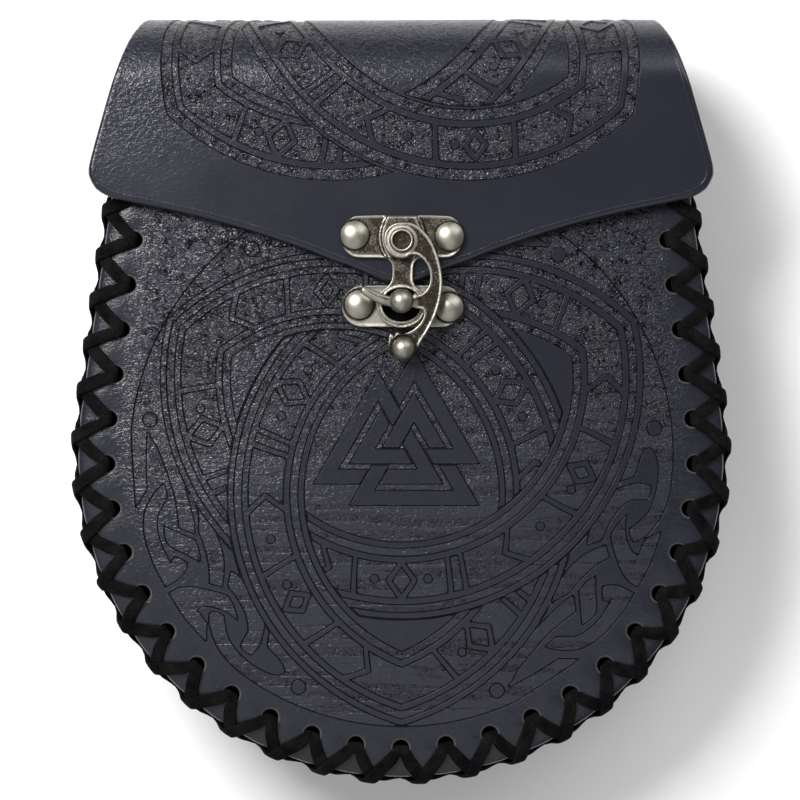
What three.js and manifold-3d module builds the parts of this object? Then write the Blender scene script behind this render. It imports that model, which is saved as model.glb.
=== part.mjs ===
// Belt pouch lying on its back, in millimetres. +Z is the front, +Y runs to the top fold.
// The origin is under the middle of the pouch, on the surface that it lies on.
import * as THREE from 'three';
import Module from 'manifold-3d';
import { mergeVertices } from 'three/addons/utils/BufferGeometryUtils.js';

const wasm = await Module();
wasm.setup();

// Seam line that the front panel, the gusset and the back panel share: a round bottom
// with straight sides that lean inward to the mouth.
const SEAM_RADIUS = 73.5;
const SEAM_CENTRE_Y = -13.8;
const SIDE_LEAN = THREE.MathUtils.degToRad(8);
const MOUTH_Y = 66;
const EDGE_MARGIN = 7.3;
const HOLE_PITCH = 11.3;
const HOLES_EACH_SIDE = 17;
const HOLE_RADIUS = 2.0;

// Heights of the layers, from the belt loops up to the flap.
const LOOP_THICKNESS = 2.2;
const BACK_FACE = 7.2;
const LEATHER = 2;
const FRONT_FACE = 45;
const FRONT_CROWN = 3;
const CROWN_START = 10;
const CROWN_REACH = 36;
const GAP = 0.3;
const SEAT = 0.15;
const FLAP_UNDER = FRONT_FACE + FRONT_CROWN + GAP;
const FLAP_TOP = FLAP_UNDER + LEATHER;

// Gusset wall, standing under the panel edges.
const WALL_INNER = 4.9;
const WALL_OUTER = 6.7;
const WALL_LOW = BACK_FACE + LEATHER + GAP;
const WALL_HIGH = FRONT_FACE - LEATHER - GAP;
const WALL_HOLE_DROP = 9.3;

// Top fold and flap.
const FOLD_Y = 77.95;
const FOLD_RADIUS = 18;
const FLAP_TIP_Y = 28.5;

// Lace.
const LACE_THICKNESS = 1.1;
const LACE_REACH = 8.5;
const LACE_HALF_IN_HOLE = 1.2;

// Belt loops.
const LOOP_X = 34;
const LOOP_Y = 8;
const LOOP_WIDTH = 24;
const LOOP_FLAT = 52;
const LOOP_BEND = 7;
const LOOP_END = 13;

// Clasp.
const PIVOT = [0.2, 39.3];
const PLATE = 0.9;
const LOWER_PLATE_Z = FLAP_UNDER;
const UPPER_PLATE_Z = FLAP_TOP + GAP;
const HOOK_Z = UPPER_PLATE_Z + 2.4;
const HOOK_THICKNESS = 1.5;
const POST = [0.1, 24.25];
const POST_RADIUS = 2.6;
const BALL_RADIUS = 2.85;

function solidOf(geometry) {
  const bare = geometry.index ? geometry.toNonIndexed() : geometry.clone();
  bare.deleteAttribute('normal');
  bare.deleteAttribute('uv');
  const merged = mergeVertices(bare, 1e-4);
  const mesh = new wasm.Mesh({
    numProp: 3,
    vertProperties: new Float32Array(merged.attributes.position.array),
    triVerts: new Uint32Array(merged.index.array),
  });
  mesh.merge();
  return new wasm.Manifold(mesh);
}

function geometryOf(solid) {
  const mesh = solid.getMesh();
  const geometry = new THREE.BufferGeometry();
  geometry.setAttribute('position', new THREE.BufferAttribute(new Float32Array(mesh.vertProperties), 3));
  geometry.setIndex(new THREE.BufferAttribute(new Uint32Array(mesh.triVerts), 1));
  return geometry;
}

function prism(points, low, high, holes = []) {
  const shape = new THREE.Shape(points.map(([x, y]) => new THREE.Vector2(x, y)));
  for (const hole of holes) {
    shape.holes.push(new THREE.Path(hole.map(([x, y]) => new THREE.Vector2(x, y))));
  }
  const geometry = new THREE.ExtrudeGeometry(shape, { depth: high - low, bevelEnabled: false });
  geometry.translate(0, 0, low);
  return solidOf(geometry);
}

function circle(x, y, radius, sides, turn = 0) {
  const points = [];
  for (let i = 0; i < sides; i += 1) {
    const angle = turn + (i / sides) * Math.PI * 2;
    points.push([x + radius * Math.cos(angle), y + radius * Math.sin(angle)]);
  }
  return points;
}

function addAll(solids) {
  return solids.reduce((sum, next) => sum.add(next));
}

// Point and outward direction on the seam line, at a length along it from the bottom.
const ARC_LENGTH = SEAM_RADIUS * (Math.PI / 2 + SIDE_LEAN);

function seam(length) {
  const side = Math.sign(length) || 1;
  const along = Math.min(Math.abs(length), ARC_LENGTH);
  const angle = along / SEAM_RADIUS - Math.PI / 2;
  const nx = Math.cos(angle);
  const ny = Math.sin(angle);
  const rest = Math.abs(length) - along;
  return {
    x: side * (SEAM_RADIUS * nx - rest * ny),
    y: SEAM_CENTRE_Y + SEAM_RADIUS * ny + rest * nx,
    nx: side * nx,
    ny,
  };
}

function panelOutline(offset, topY) {
  const points = [];
  const radius = SEAM_RADIUS + offset;
  const steps = 34;
  const span = Math.PI / 2 + SIDE_LEAN;
  const startY = SEAM_CENTRE_Y + radius * Math.sin(SIDE_LEAN);
  const startX = radius * Math.cos(SIDE_LEAN);
  const topX = startX - (topY - startY) * Math.tan(SIDE_LEAN);
  points.push([-topX, topY]);
  for (let i = 0; i <= steps; i += 1) {
    const angle = -Math.PI / 2 - span + (i / steps) * 2 * span;
    points.push([radius * Math.cos(angle), SEAM_CENTRE_Y + radius * Math.sin(angle)]);
  }
  points.push([topX, topY]);
  return points;
}

function insideSeam(x, y) {
  const up = y - SEAM_CENTRE_Y;
  if (up > Math.abs(x) * Math.tan(SIDE_LEAN)) {
    return SEAM_RADIUS - Math.abs(x) * Math.cos(SIDE_LEAN) - up * Math.sin(SIDE_LEAN);
  }
  return SEAM_RADIUS - Math.hypot(x, up);
}

function crown(x, y) {
  const part = THREE.MathUtils.clamp((insideSeam(x, y) - CROWN_START) / CROWN_REACH, 0, 1);
  return FRONT_CROWN * Math.sin((part * Math.PI) / 2);
}

const holeStations = [];
for (let i = -HOLES_EACH_SIDE; i <= HOLES_EACH_SIDE; i += 1) {
  holeStations.push(i * HOLE_PITCH);
}

function panelHoles(low, high) {
  return addAll(holeStations.map((station) => {
    const { x, y, nx, ny } = seam(station);
    return prism(circle(x, y, HOLE_RADIUS, 6, Math.atan2(ny, nx)), low, high);
  }));
}

function bore(x, y, radius, low, high, sides = 12) {
  return prism(circle(x, y, radius, sides), low, high);
}

const upperRivets = [[-11.5, 40.7], [12.1, 40.4]];
const lowerRivets = [[-10.4, 23.5], [12, 22.8]];
const loopRivetY = LOOP_FLAT / 2 + LOOP_BEND + LOOP_END / 2;
const loopRivets = [
  [-LOOP_X, LOOP_Y + loopRivetY],
  [-LOOP_X, LOOP_Y - loopRivetY],
  [LOOP_X, LOOP_Y + loopRivetY],
  [LOOP_X, LOOP_Y - loopRivetY],
];

// Front panel: a slab crowned towards its middle, cut to the outline and pierced.
function frontPanel() {
  const slab = new THREE.BoxGeometry(166, 170, LEATHER, 14, 14, 1);
  slab.translate(0, -14, FRONT_FACE - LEATHER / 2);
  const spots = slab.attributes.position;
  for (let i = 0; i < spots.count; i += 1) {
    spots.setZ(i, spots.getZ(i) + crown(spots.getX(i), spots.getY(i)));
  }
  let panel = solidOf(slab).intersect(prism(panelOutline(EDGE_MARGIN, MOUTH_Y), 30, 60));
  panel = panel.subtract(panelHoles(40, 50));
  for (const [x, y] of lowerRivets) {
    panel = panel.subtract(bore(x, y, 1.6, 40, 55));
  }
  return panel.subtract(bore(POST[0], POST[1], 1.6, 40, 55));
}

// Gusset: one strip standing all along the seam, open at the mouth, with a row of
// holes under each panel.
function gusset() {
  const inner = panelOutline(WALL_INNER, MOUTH_Y + 5);
  const outer = panelOutline(WALL_OUTER, MOUTH_Y);
  let wall = prism(outer, WALL_LOW, WALL_HIGH).subtract(prism(inner, 0, 60));
  const cutters = [];
  for (const station of holeStations) {
    const { x, y, nx, ny } = seam(station);
    for (const z of [BACK_FACE + WALL_HOLE_DROP, FRONT_FACE - WALL_HOLE_DROP]) {
      const cutter = new THREE.CylinderGeometry(HOLE_RADIUS, HOLE_RADIUS, 6, 6);
      cutter.rotateZ(-Math.PI / 2 + Math.atan2(ny, nx));
      cutter.translate(x + nx * 5.8, y + ny * 5.8, z);
      cutters.push(solidOf(cutter));
    }
  }
  wall = wall.subtract(addAll(cutters));
  return wall;
}

function mirrored(points) {
  const left = points.slice().reverse().map(([x, y]) => [-x, y]);
  return points.concat(left);
}

// Back panel, fold and flap in one piece of leather.
function backAndFlap() {
  const back = prism(panelOutline(EDGE_MARGIN, MOUTH_Y), BACK_FACE, BACK_FACE + LEATHER);
  const neck = prism(mirrored([[70.6, 60], [70.4, 66], [68, 69.5], [64, 73], [61, FOLD_Y + 0.01]]),
    BACK_FACE, BACK_FACE + LEATHER);

  const ring = new THREE.Shape();
  const lowZ = BACK_FACE + FOLD_RADIUS;
  const highZ = FLAP_TOP - FOLD_RADIUS;
  ring.moveTo(FOLD_Y, BACK_FACE);
  ring.absarc(FOLD_Y, lowZ, FOLD_RADIUS, -Math.PI / 2, 0, false);
  ring.absarc(FOLD_Y, highZ, FOLD_RADIUS, 0, Math.PI / 2, false);
  ring.lineTo(FOLD_Y, FLAP_UNDER);
  ring.absarc(FOLD_Y, highZ, FOLD_RADIUS - LEATHER, Math.PI / 2, 0, true);
  ring.absarc(FOLD_Y, lowZ, FOLD_RADIUS - LEATHER, 0, -Math.PI / 2, true);
  const sweep = new THREE.ExtrudeGeometry(ring, { depth: 150, bevelEnabled: false, curveSegments: 10 });
  sweep.translate(0, 0, -75);
  sweep.rotateX(Math.PI / 2);
  sweep.rotateZ(Math.PI / 2);
  const taper = mirrored([
    [61, 0], [61, 9], [62.3, 25], [64, 32.3], [66, 41], [68, 45.7], [70.5, 49.4], [72.3, 50.31], [72.3, 55],
  ]);
  const taperShape = prism(taper.map(([x, z]) => [x, z]), 0, 60);
  const wedge = geometryOf(taperShape);
  wedge.rotateX(Math.PI / 2);
  wedge.translate(0, 120, 0);
  const fold = solidOf(sweep).intersect(solidOf(wedge));

  const flap = prism(mirrored([
    [0.01, FLAP_TIP_Y], [4, 29.2], [8, 31], [12.5, 32.9], [17.5, 34.5], [25, 37.6], [40, 42.5], [55, 46.4],
    [67, 48.9], [72, 50], [75.5, 51.8], [77.5, 54.4], [78, 57], [77.5, 59.75], [75.8, 66], [72.3, FOLD_Y + 0.01],
  ]), FLAP_UNDER, FLAP_TOP);

  let leather = addAll([back, neck, fold, flap]);
  leather = leather.subtract(panelHoles(0, 20));
  for (const [x, y] of upperRivets) {
    leather = leather.subtract(bore(x, y, 1.6, 40, 60));
  }
  leather = leather.subtract(bore(PIVOT[0], PIVOT[1], 1.6, 40, 60));
  for (const [x, y] of loopRivets) {
    leather = leather.subtract(bore(x, y, 1.8, 0, 20));
  }
  return leather;
}

// A strip carried through sections, each with a centre, a half-width and a half-thickness.
function strip(sections) {
  const positions = [];
  const index = [];
  for (const { at, wide, thick } of sections) {
    for (const [a, b] of [[-1, -1], [1, -1], [1, 1], [-1, 1]]) {
      positions.push(...[0, 1, 2].map((k) => at[k] + a * wide[k] + b * thick[k]));
    }
  }
  for (let i = 0; i + 1 < sections.length; i += 1) {
    for (let k = 0; k < 4; k += 1) {
      const a = i * 4 + k;
      const b = i * 4 + ((k + 1) % 4);
      index.push(a, b, b + 4, a, b + 4, a + 4);
    }
  }
  const last = (sections.length - 1) * 4;
  index.push(0, 2, 1, 0, 3, 2, last, last + 1, last + 2, last, last + 2, last + 3);
  const geometry = new THREE.BufferGeometry();
  geometry.setAttribute('position', new THREE.BufferAttribute(new Float32Array(positions), 3));
  geometry.setIndex(index);
  const solid = solidOf(geometry);
  return solid.volume() < 0 ? solidOf(flipped(geometry)) : solid;
}

function flipped(geometry) {
  const order = Array.from(geometry.index.array);
  const turned = [];
  for (let i = 0; i < order.length; i += 3) {
    turned.push(order[i], order[i + 2], order[i + 1]);
  }
  geometry.setIndex(turned);
  return geometry;
}

// Lace along one seam. face is the panel's outer face and out is +1 for the front seam
// and -1 for the back seam. One zigzag lies on the panel, one on the gusset, and at each
// pair of holes a link runs through the corner between them.
function lace(face, out) {
  const wallHole = face - out * WALL_HOLE_DROP;
  const half = LACE_THICKNESS / 2;
  const local = (spot, outward, z) => [spot.x + spot.nx * outward, spot.y + spot.ny * outward, z];
  const onPanel = [];
  const onWall = [];
  const edge = EDGE_MARGIN + 0.25;
  const lift = face + out * (half + 0.2);
  const panelReach = (LACE_REACH - 3) / 2;
  for (let i = 0; i < 2 * holeStations.length - 1; i += 1) {
    const spot = seam(holeStations[0] + (i * HOLE_PITCH) / 2);
    const outward = (size) => [spot.nx * size, spot.ny * size, 0];
    const atHole = i % 2 === 0;
    onPanel.push({
      at: local(spot, atHole ? 0 : 3 + panelReach, lift),
      wide: outward(atHole ? 2 : panelReach),
      thick: [0, 0, half],
    });
    const low = face - out * 5.4;
    const high = lift + out * half;
    onWall.push({
      at: local(spot, edge + half, atHole ? wallHole : (low + high) / 2),
      wide: [0, 0, atHole ? 2 : Math.abs(high - low) / 2],
      thick: outward(half),
    });
  }
  const pieces = [strip(onPanel), strip(onWall)];
  for (const station of holeStations) {
    const spot = seam(station);
    const across = [-spot.ny * LACE_HALF_IN_HOLE, spot.nx * LACE_HALF_IN_HOLE, 0];
    const thick = (outward, z) => [spot.nx * outward, spot.ny * outward, z];
    pieces.push(strip([
      { at: local(spot, 0, lift), wide: across, thick: thick(0.75, 0) },
      { at: local(spot, 0.1, face - out * 3), wide: across, thick: thick(0.7, 0.25 * out) },
      { at: local(spot, 3.6, wallHole + out * 0.4), wide: across, thick: thick(0.3, 0.7 * out) },
      { at: local(spot, edge + half, wallHole), wide: across, thick: thick(0, 0.75 * out) },
    ]));
  }
  return addAll(pieces);
}

// Belt loop: a strap that stands off the back panel between two riveted ends.
function beltLoop(side) {
  const low = BACK_FACE - GAP - LOOP_THICKNESS;
  const outer = [];
  const inner = [];
  const steps = 8;
  const start = LOOP_FLAT / 2;
  for (let i = 0; i <= steps; i += 1) {
    const part = i / steps;
    const rise = low * (0.5 - 0.5 * Math.cos(Math.PI * part));
    const slope = (low * 0.5 * Math.PI * Math.sin(Math.PI * part)) / LOOP_BEND;
    const norm = Math.hypot(1, slope);
    const y = start + LOOP_BEND * part;
    outer.push([y, rise]);
    inner.push([y - (LOOP_THICKNESS * slope) / norm, rise + LOOP_THICKNESS / norm]);
  }
  outer.push([start + LOOP_BEND + LOOP_END, low]);
  inner.push([start + LOOP_BEND + LOOP_END, low + LOOP_THICKNESS]);
  const half = outer.concat(inner.reverse());
  const whole = half.concat(half.slice().reverse().map(([y, z]) => [-y, z]));
  const shape = new THREE.Shape(whole.map(([y, z]) => new THREE.Vector2(y + LOOP_Y, z)));
  const geometry = new THREE.ExtrudeGeometry(shape, { depth: LOOP_WIDTH, bevelEnabled: false });
  geometry.translate(0, 0, -LOOP_WIDTH / 2);
  geometry.rotateX(Math.PI / 2);
  geometry.rotateZ(Math.PI / 2);
  geometry.translate(side * LOOP_X, 0, 0);
  let strap = solidOf(geometry);
  for (const [x, y] of loopRivets) {
    strap = strap.subtract(bore(x, y, 1.8, -1, 20));
  }
  return strap;
}

function turned(profile, x, y, segments = 16) {
  const points = profile.map(([r, z]) => new THREE.Vector2(r, z));
  const geometry = new THREE.LatheGeometry(points, segments);
  geometry.rotateX(Math.PI / 2);
  geometry.translate(x, y, 0);
  const solid = solidOf(geometry);
  return solid.volume() < 0 ? solidOf(flipped(geometryOf(solid))) : solid;
}

function dome(radius, base, height, steps = 4) {
  const sphere = (radius * radius + height * height) / (2 * height);
  const points = [];
  for (let i = 0; i <= steps; i += 1) {
    const r = radius * (1 - i / steps);
    points.push([r, base + height - sphere + Math.sqrt(sphere * sphere - r * r)]);
  }
  points[steps][0] = 0;
  return points;
}

function claspRivet(x, y, base, end, radius) {
  return turned([[0, end], [1.3, end], [1.3, base], [radius, base], ...dome(radius, base, 1.3)], x, y);
}

function lowerRivet(x, y) {
  const top = LOWER_PLATE_Z + PLATE + SEAT;
  const inside = FRONT_FACE - LEATHER + FRONT_CROWN - GAP;
  return turned([
    [0, inside - 0.7], [3, inside - 0.7], [3, inside], [1.3, inside], [1.3, top], [3.7, top], ...dome(3.7, top, 1.3),
  ], x, y);
}

function loopRivet(x, y) {
  const head = BACK_FACE - GAP - LOOP_THICKNESS - SEAT;
  const inside = BACK_FACE + LEATHER + GAP;
  return turned([
    [0, head - 1.5], [2.4, head - 1.2], [4, head - 0.4], [4.3, head], [1.5, head], [1.5, inside],
    [4, inside], [3.8, inside + 0.8], [0, inside + 0.8],
  ], x, y);
}

function stadium(cx, cy, halfLength, halfHeight) {
  const points = [];
  for (let i = 0; i <= 8; i += 1) {
    const angle = -Math.PI / 2 + (Math.PI * i) / 8;
    points.push([
      cx + halfLength - halfHeight + halfHeight * Math.cos(angle),
      cy + halfHeight * Math.sin(angle),
    ]);
  }
  for (let i = 0; i <= 8; i += 1) {
    const angle = Math.PI / 2 + (Math.PI * i) / 8;
    points.push([
      cx - halfLength + halfHeight + halfHeight * Math.cos(angle),
      cy + halfHeight * Math.sin(angle),
    ]);
  }
  return points;
}

function upperPlate() {
  const low = UPPER_PLATE_Z;
  const high = low + PLATE;
  const body = prism(stadium(0.3, 40.3, 15.4, 5.2), low, high);
  const boss = prism([
    [-5.3, 35.3], [5.5, 35.3], [5.2, 38], [5.2, 42.5], [5.5, 45.3], [-5.3, 45.3], [-5, 42.5], [-5, 38],
  ], high - 0.1, high + 1.2);
  const neck = prism([
    [-3.4, 36.5], [3.6, 36.5], [3.1, 34.5], [2.6, 32.5], [3.2, 30.3], [4.4, 28], [-4.2, 28], [-3, 30.3],
    [-2.4, 32.5], [-2.9, 34.5],
  ].reverse(), low, high);
  const eye = prism(circle(0.1, 24.1, 6.1, 28), low, high);
  let plate = addAll([body, boss, neck, eye]).subtract(bore(0.1, 24.1, 4.9, 0, 80, 24));
  for (const [x, y] of upperRivets) {
    plate = plate.subtract(bore(x, y, 1.6, 0, 80));
  }
  return plate.subtract(bore(PIVOT[0], PIVOT[1], 1.6, 0, 80));
}

function lowerPlate() {
  let plate = prism(stadium(0.3, 23.1, 15.1, 5.2), LOWER_PLATE_Z, LOWER_PLATE_Z + PLATE);
  for (const [x, y] of [...lowerRivets, POST]) {
    plate = plate.subtract(bore(x, y, 1.6, 0, 80));
  }
  return plate;
}

// The post is pierced by a curved slot that the hook's finger slides through.
function keeperPost() {
  const top = LOWER_PLATE_Z + PLATE + GAP;
  const inside = FRONT_FACE - LEATHER + FRONT_CROWN - GAP;
  const centre = HOOK_Z + HOOK_THICKNESS + 1.7;
  const ball = [];
  for (let i = 0; i <= 9; i += 1) {
    const angle = -Math.asin(1.17 / BALL_RADIUS) + (i / 9) * (Math.PI / 2 + Math.asin(1.17 / BALL_RADIUS));
    ball.push([i === 9 ? 0 : BALL_RADIUS * Math.cos(angle), centre + BALL_RADIUS * Math.sin(angle)]);
  }
  const body = turned([
    [0, inside - 0.7], [3, inside - 0.7], [3, inside], [1.3, inside], [1.3, top], [POST_RADIUS, top],
    [POST_RADIUS, centre - 1.3], ...ball,
  ], POST[0], POST[1], 24);
  const slot = [];
  for (let i = 0; i <= 8; i += 1) {
    const angle = -Math.PI / 2 + ((i - 4) / 4) * 0.35;
    slot.push([PIVOT[0] + 16.75 * Math.cos(angle), PIVOT[1] + 16.75 * Math.sin(angle)]);
  }
  for (let i = 8; i >= 0; i -= 1) {
    const angle = -Math.PI / 2 + ((i - 4) / 4) * 0.35;
    slot.push([PIVOT[0] + 14.05 * Math.cos(angle), PIVOT[1] + 14.05 * Math.sin(angle)]);
  }
  return body.subtract(prism(slot, HOOK_Z - 0.25, HOOK_Z + HOOK_THICKNESS + 0.25));
}

// Swing hook: eye, arm, a finger on an arc about the pivot, and a ball to hold it by.
function swingHook() {
  const fingerEdge = (radii, angles) => angles.map((degrees, i) => {
    const angle = THREE.MathUtils.degToRad(degrees - 90);
    return [radii[i] * Math.cos(angle), radii[i] * Math.sin(angle)];
  });
  const outline = [
    [0.7, 4.35], [3.95, 2.7], [7.2, -0.3], [9.3, -4.8], [10.2, -9.8], [9.55, -14], [8.3, -18.8],
    [6.3, -23.1], [4.3, -25.5], [2, -26.9], [0.4, -26.7], [0.3, -24], [0.95, -22.5], [2.55, -21.8],
    [4.8, -20.2], [6, -17.75], [5.4, -16.4],
    ...fingerEdge([16.6, 16.5, 16.35, 16.1, 15.8], [12, 0, -15, -30, -38.7]),
    ...fingerEdge([15.2, 14.8, 14.5, 14.3, 14.4], [-38.7, -30, -15, 0, 12]),
    [3.95, -14], [6.3, -12.6], [7.5, -10.7], [6.9, -8.1], [5.55, -5.1], [3.3, -3.3], [1.5, -4.2],
  ].map(([x, y]) => [PIVOT[0] + x, PIVOT[1] + y]).reverse();
  const arm = prism(outline, HOOK_Z, HOOK_Z + HOOK_THICKNESS);
  const eye = prism(circle(PIVOT[0], PIVOT[1], 4.4, 28), HOOK_Z, HOOK_Z + HOOK_THICKNESS);
  const ball = new THREE.SphereGeometry(BALL_RADIUS, 16, 10);
  ball.translate(PIVOT[0] + 0.4, PIVOT[1] - 26.7, HOOK_Z + 0.9);
  const solid = addAll([arm, eye, solidOf(ball)]);
  return solid.subtract(bore(PIVOT[0], PIVOT[1], 1.6, 0, 80, 20));
}

function pivotRivet() {
  const head = HOOK_Z + HOOK_THICKNESS + 0.2;
  return turned([
    [0, FLAP_UNDER + 0.4], [1.3, FLAP_UNDER + 0.4], [1.3, head], [2.85, head], [2.85, head + 0.9],
    [2.4, head + 1.1], [2.05, head + 0.7], [0, head + 0.7],
  ], PIVOT[0], PIVOT[1], 24);
}

const group = new THREE.Group();

function place(name, solid, colour, roughness, metalness) {
  const material = new THREE.MeshStandardMaterial({ color: colour, roughness, metalness });
  const mesh = new THREE.Mesh(geometryOf(solid), material);
  mesh.name = name;
  group.add(mesh);
}

function leatherPiece(name, solid) {
  place(name, solid, 0x2b2c33, 0.5, 0);
}

function metalPiece(name, solid) {
  place(name, solid, 0x8a8680, 0.38, 1);
}

leatherPiece('front_panel', frontPanel());
leatherPiece('gusset', gusset());
leatherPiece('back_and_flap', backAndFlap());
leatherPiece('belt_loop_left', beltLoop(-1));
leatherPiece('belt_loop_right', beltLoop(1));
place('front_lace', lace(FRONT_FACE, 1), 0x121211, 0.9, 0);
place('back_lace', lace(BACK_FACE, -1), 0x121211, 0.9, 0);
metalPiece('upper_plate', upperPlate());
metalPiece('lower_plate', lowerPlate());
metalPiece('keeper_post', keeperPost());
metalPiece('swing_hook', swingHook());
metalPiece('pivot_rivet', pivotRivet());
const shankEnd = FLAP_UNDER + 0.4;
const upperSeat = UPPER_PLATE_Z + PLATE + SEAT;
metalPiece('upper_rivet_left', claspRivet(...upperRivets[0], upperSeat, shankEnd, 3.65));
metalPiece('upper_rivet_right', claspRivet(...upperRivets[1], upperSeat, shankEnd, 3.65));
metalPiece('lower_rivet_left', lowerRivet(...lowerRivets[0]));
metalPiece('lower_rivet_right', lowerRivet(...lowerRivets[1]));
metalPiece('loop_rivet_top_left', loopRivet(...loopRivets[0]));
metalPiece('loop_rivet_low_left', loopRivet(...loopRivets[1]));
metalPiece('loop_rivet_top_right', loopRivet(...loopRivets[2]));
metalPiece('loop_rivet_low_right', loopRivet(...loopRivets[3]));

export default group;
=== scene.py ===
"""Embossed leather belt pouch with laced edges and a swing clasp, lying on its back.

Lengths are in millimetres; they become metres where a mesh is made. X runs across the front, Y up to
the fold and Z out of the front. A flat shape is given by a distance: how far a point lies inside its
outline, negative outside. The smaller of two distances is what two shapes share, and the larger one
is what they cover together.
"""

import bmesh
import bpy
import numpy as np
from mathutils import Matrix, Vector, geometry


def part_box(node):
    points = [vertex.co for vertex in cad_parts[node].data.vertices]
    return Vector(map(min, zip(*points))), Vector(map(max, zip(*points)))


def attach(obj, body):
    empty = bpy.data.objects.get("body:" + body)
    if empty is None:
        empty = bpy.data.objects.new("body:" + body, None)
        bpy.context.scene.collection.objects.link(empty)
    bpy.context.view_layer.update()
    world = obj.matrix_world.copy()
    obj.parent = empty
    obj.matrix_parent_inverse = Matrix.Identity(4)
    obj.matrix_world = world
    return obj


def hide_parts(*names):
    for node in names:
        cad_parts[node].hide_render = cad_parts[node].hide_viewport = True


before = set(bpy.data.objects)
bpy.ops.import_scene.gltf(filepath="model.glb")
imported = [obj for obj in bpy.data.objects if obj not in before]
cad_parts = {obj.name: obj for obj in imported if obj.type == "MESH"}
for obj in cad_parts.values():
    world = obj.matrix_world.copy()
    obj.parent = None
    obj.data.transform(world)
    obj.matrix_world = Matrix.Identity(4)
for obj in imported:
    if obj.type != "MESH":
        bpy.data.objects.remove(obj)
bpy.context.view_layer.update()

MM = 0.001
FAR = 9.0


def node_box(name):
    """Lower and upper corner of a node of the frame."""
    low, high = (np.array(corner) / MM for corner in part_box(name))
    return low, high


# Seam line shared by the front panel, gusset and back panel, in millimetres.
SEAM_RADIUS = 73.5
SEAM_CENTRE_Y = -13.8
SIDE_LEAN = np.radians(8.0)
MOUTH_Y = 66.0
EDGE_MARGIN = 7.3
HOLE_PITCH = 11.3
HOLES_EACH_SIDE = 17
HOLE_RADIUS = 2.0

# Leather.
PANEL_THICKNESS = 2.0
FLAP_THICKNESS = 2.1
GUSSET_THICKNESS = 1.7
EDGE_DROP = 1.4

# Layers, taken from the frame.
FRONT_FACE = node_box("front_panel")[0][2] + PANEL_THICKNESS
BACK_FACE = node_box("back_and_flap")[0][2]
FLAP_TOP = node_box("back_and_flap")[1][2]
FRONT_CROWN = node_box("front_panel")[1][2] - FRONT_FACE
FOLD_RADIUS = 18.0
FOLD_Y = node_box("back_and_flap")[1][1] - FOLD_RADIUS
FOLD_HIGH = FLAP_TOP - FOLD_RADIUS
FOLD_LOW = BACK_FACE + FOLD_RADIUS

# Gusset: its outer side from the seam line, its own edges and its holes from the panels' faces.
WALL_FACE = 6.6
WALL_EDGE_DROP = 2.6
WALL_HOLE_DROP = 9.3

# Embossing. Bands are measured from the middle of their own circle.
EMBOSS_DEPTH = 0.3
EMBOSS_SLOPE = 0.12
CROSSING_GAP = 0.55
MEDALLION = np.array([0.2, -14.0])
MEDALLION_RADIUS = 68.0
FLAP_MEDALLION = np.array([-0.2, 104.2])
ARC_OFFSET = 19.5
BAND_INNER = 41.3
BAND_OUTER = 60.25
BAND_RIM = 1.35
FLAP_BAND_RIM = 0.55
BAND_TUCK = 0.3
RIDGE_INNER = 45.6
RIDGE_OUTER = 56.0
RIDGE_HALF = 0.72
FIELD_MIDDLE = 50.8
MARK_HALF = 0.58
MARK_DOT_RADIUS = 1.0
RIM_DOT_RADIUS = 1.75
RIM_DOT_CIRCLE = 63.5

# Meshing of the embossed sides.
TRACE_SPACING = 0.36
TRACE_CELL = 0.26
NARROW_BANDS = (0.24, 0.95)
GRID_CLEARANCE = 0.2
EDGE_ROWS = (0.06, 0.2, 0.45, 0.8)


def smooth(low, high, value):
    """Smooth step from 0 at low to 1 at high."""
    part = np.clip((value - low) / (high - low), 0, 1)
    return part * part * (3 - 2 * part)


# Curves in the plane -------------------------------------------------------------------

def seam(length):
    """Point and outward direction on the seam line: a round bottom, then straight leaning sides."""
    side = np.where(length < 0, -1.0, 1.0)
    arc_length = SEAM_RADIUS * (np.pi / 2 + SIDE_LEAN)
    along = np.minimum(np.abs(length), arc_length)
    angle = along / SEAM_RADIUS - np.pi / 2
    nx, ny = np.cos(angle), np.sin(angle)
    rest = np.abs(length) - along
    x = side * (SEAM_RADIUS * nx - rest * ny)
    y = SEAM_CENTRE_Y + SEAM_RADIUS * ny + rest * nx
    return x, y, side * nx, ny


def seam_length_at(y):
    """Length along the seam line at which its straight side reaches height y."""
    start = SEAM_CENTRE_Y + SEAM_RADIUS * np.sin(SIDE_LEAN)
    return SEAM_RADIUS * (np.pi / 2 + SIDE_LEAN) + (y - start) / np.cos(SIDE_LEAN)


def inside_seam(points):
    """Distance from points to the seam line, positive inside it."""
    x = np.abs(points[:, 0])
    up = points[:, 1] - SEAM_CENTRE_Y
    straight = SEAM_RADIUS - x * np.cos(SIDE_LEAN) - up * np.sin(SIDE_LEAN)
    rounded = SEAM_RADIUS - np.hypot(x, up)
    return np.where(up > x * np.tan(SIDE_LEAN), straight, rounded)


def circle(centre, radius, count):
    """Closed loop of points on a circle, counter-clockwise."""
    angle = np.arange(count) / count * 2 * np.pi
    return np.stack([centre[0] + radius * np.cos(angle), centre[1] + radius * np.sin(angle)], 1)


def flowing(before, points, after, beyond, pieces):
    """Catmull-Rom curve, as many pieces from each point to the one after it.

    Each stretch is a cubic whose slope at a point is half the way from the point before to the one after.
    """
    t = np.linspace(0, 1, pieces, endpoint=False)[None, :, None]
    p0, p1, p2, p3 = (q[:, None, :] for q in (before, points, after, beyond))
    curve = 0.5 * (2 * p1 + (p2 - p0) * t + (2 * p0 - 5 * p1 + 4 * p2 - p3) * t ** 2
                   + (3 * p1 - p0 - 3 * p2 + p3) * t ** 3)
    return curve.reshape(-1, 2)


def loop_neighbours(points):
    """The point before, the one after and the one beyond that, for each point of a closed loop."""
    return np.roll(points, 1, 0), np.roll(points, -1, 0), np.roll(points, -2, 0)


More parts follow.
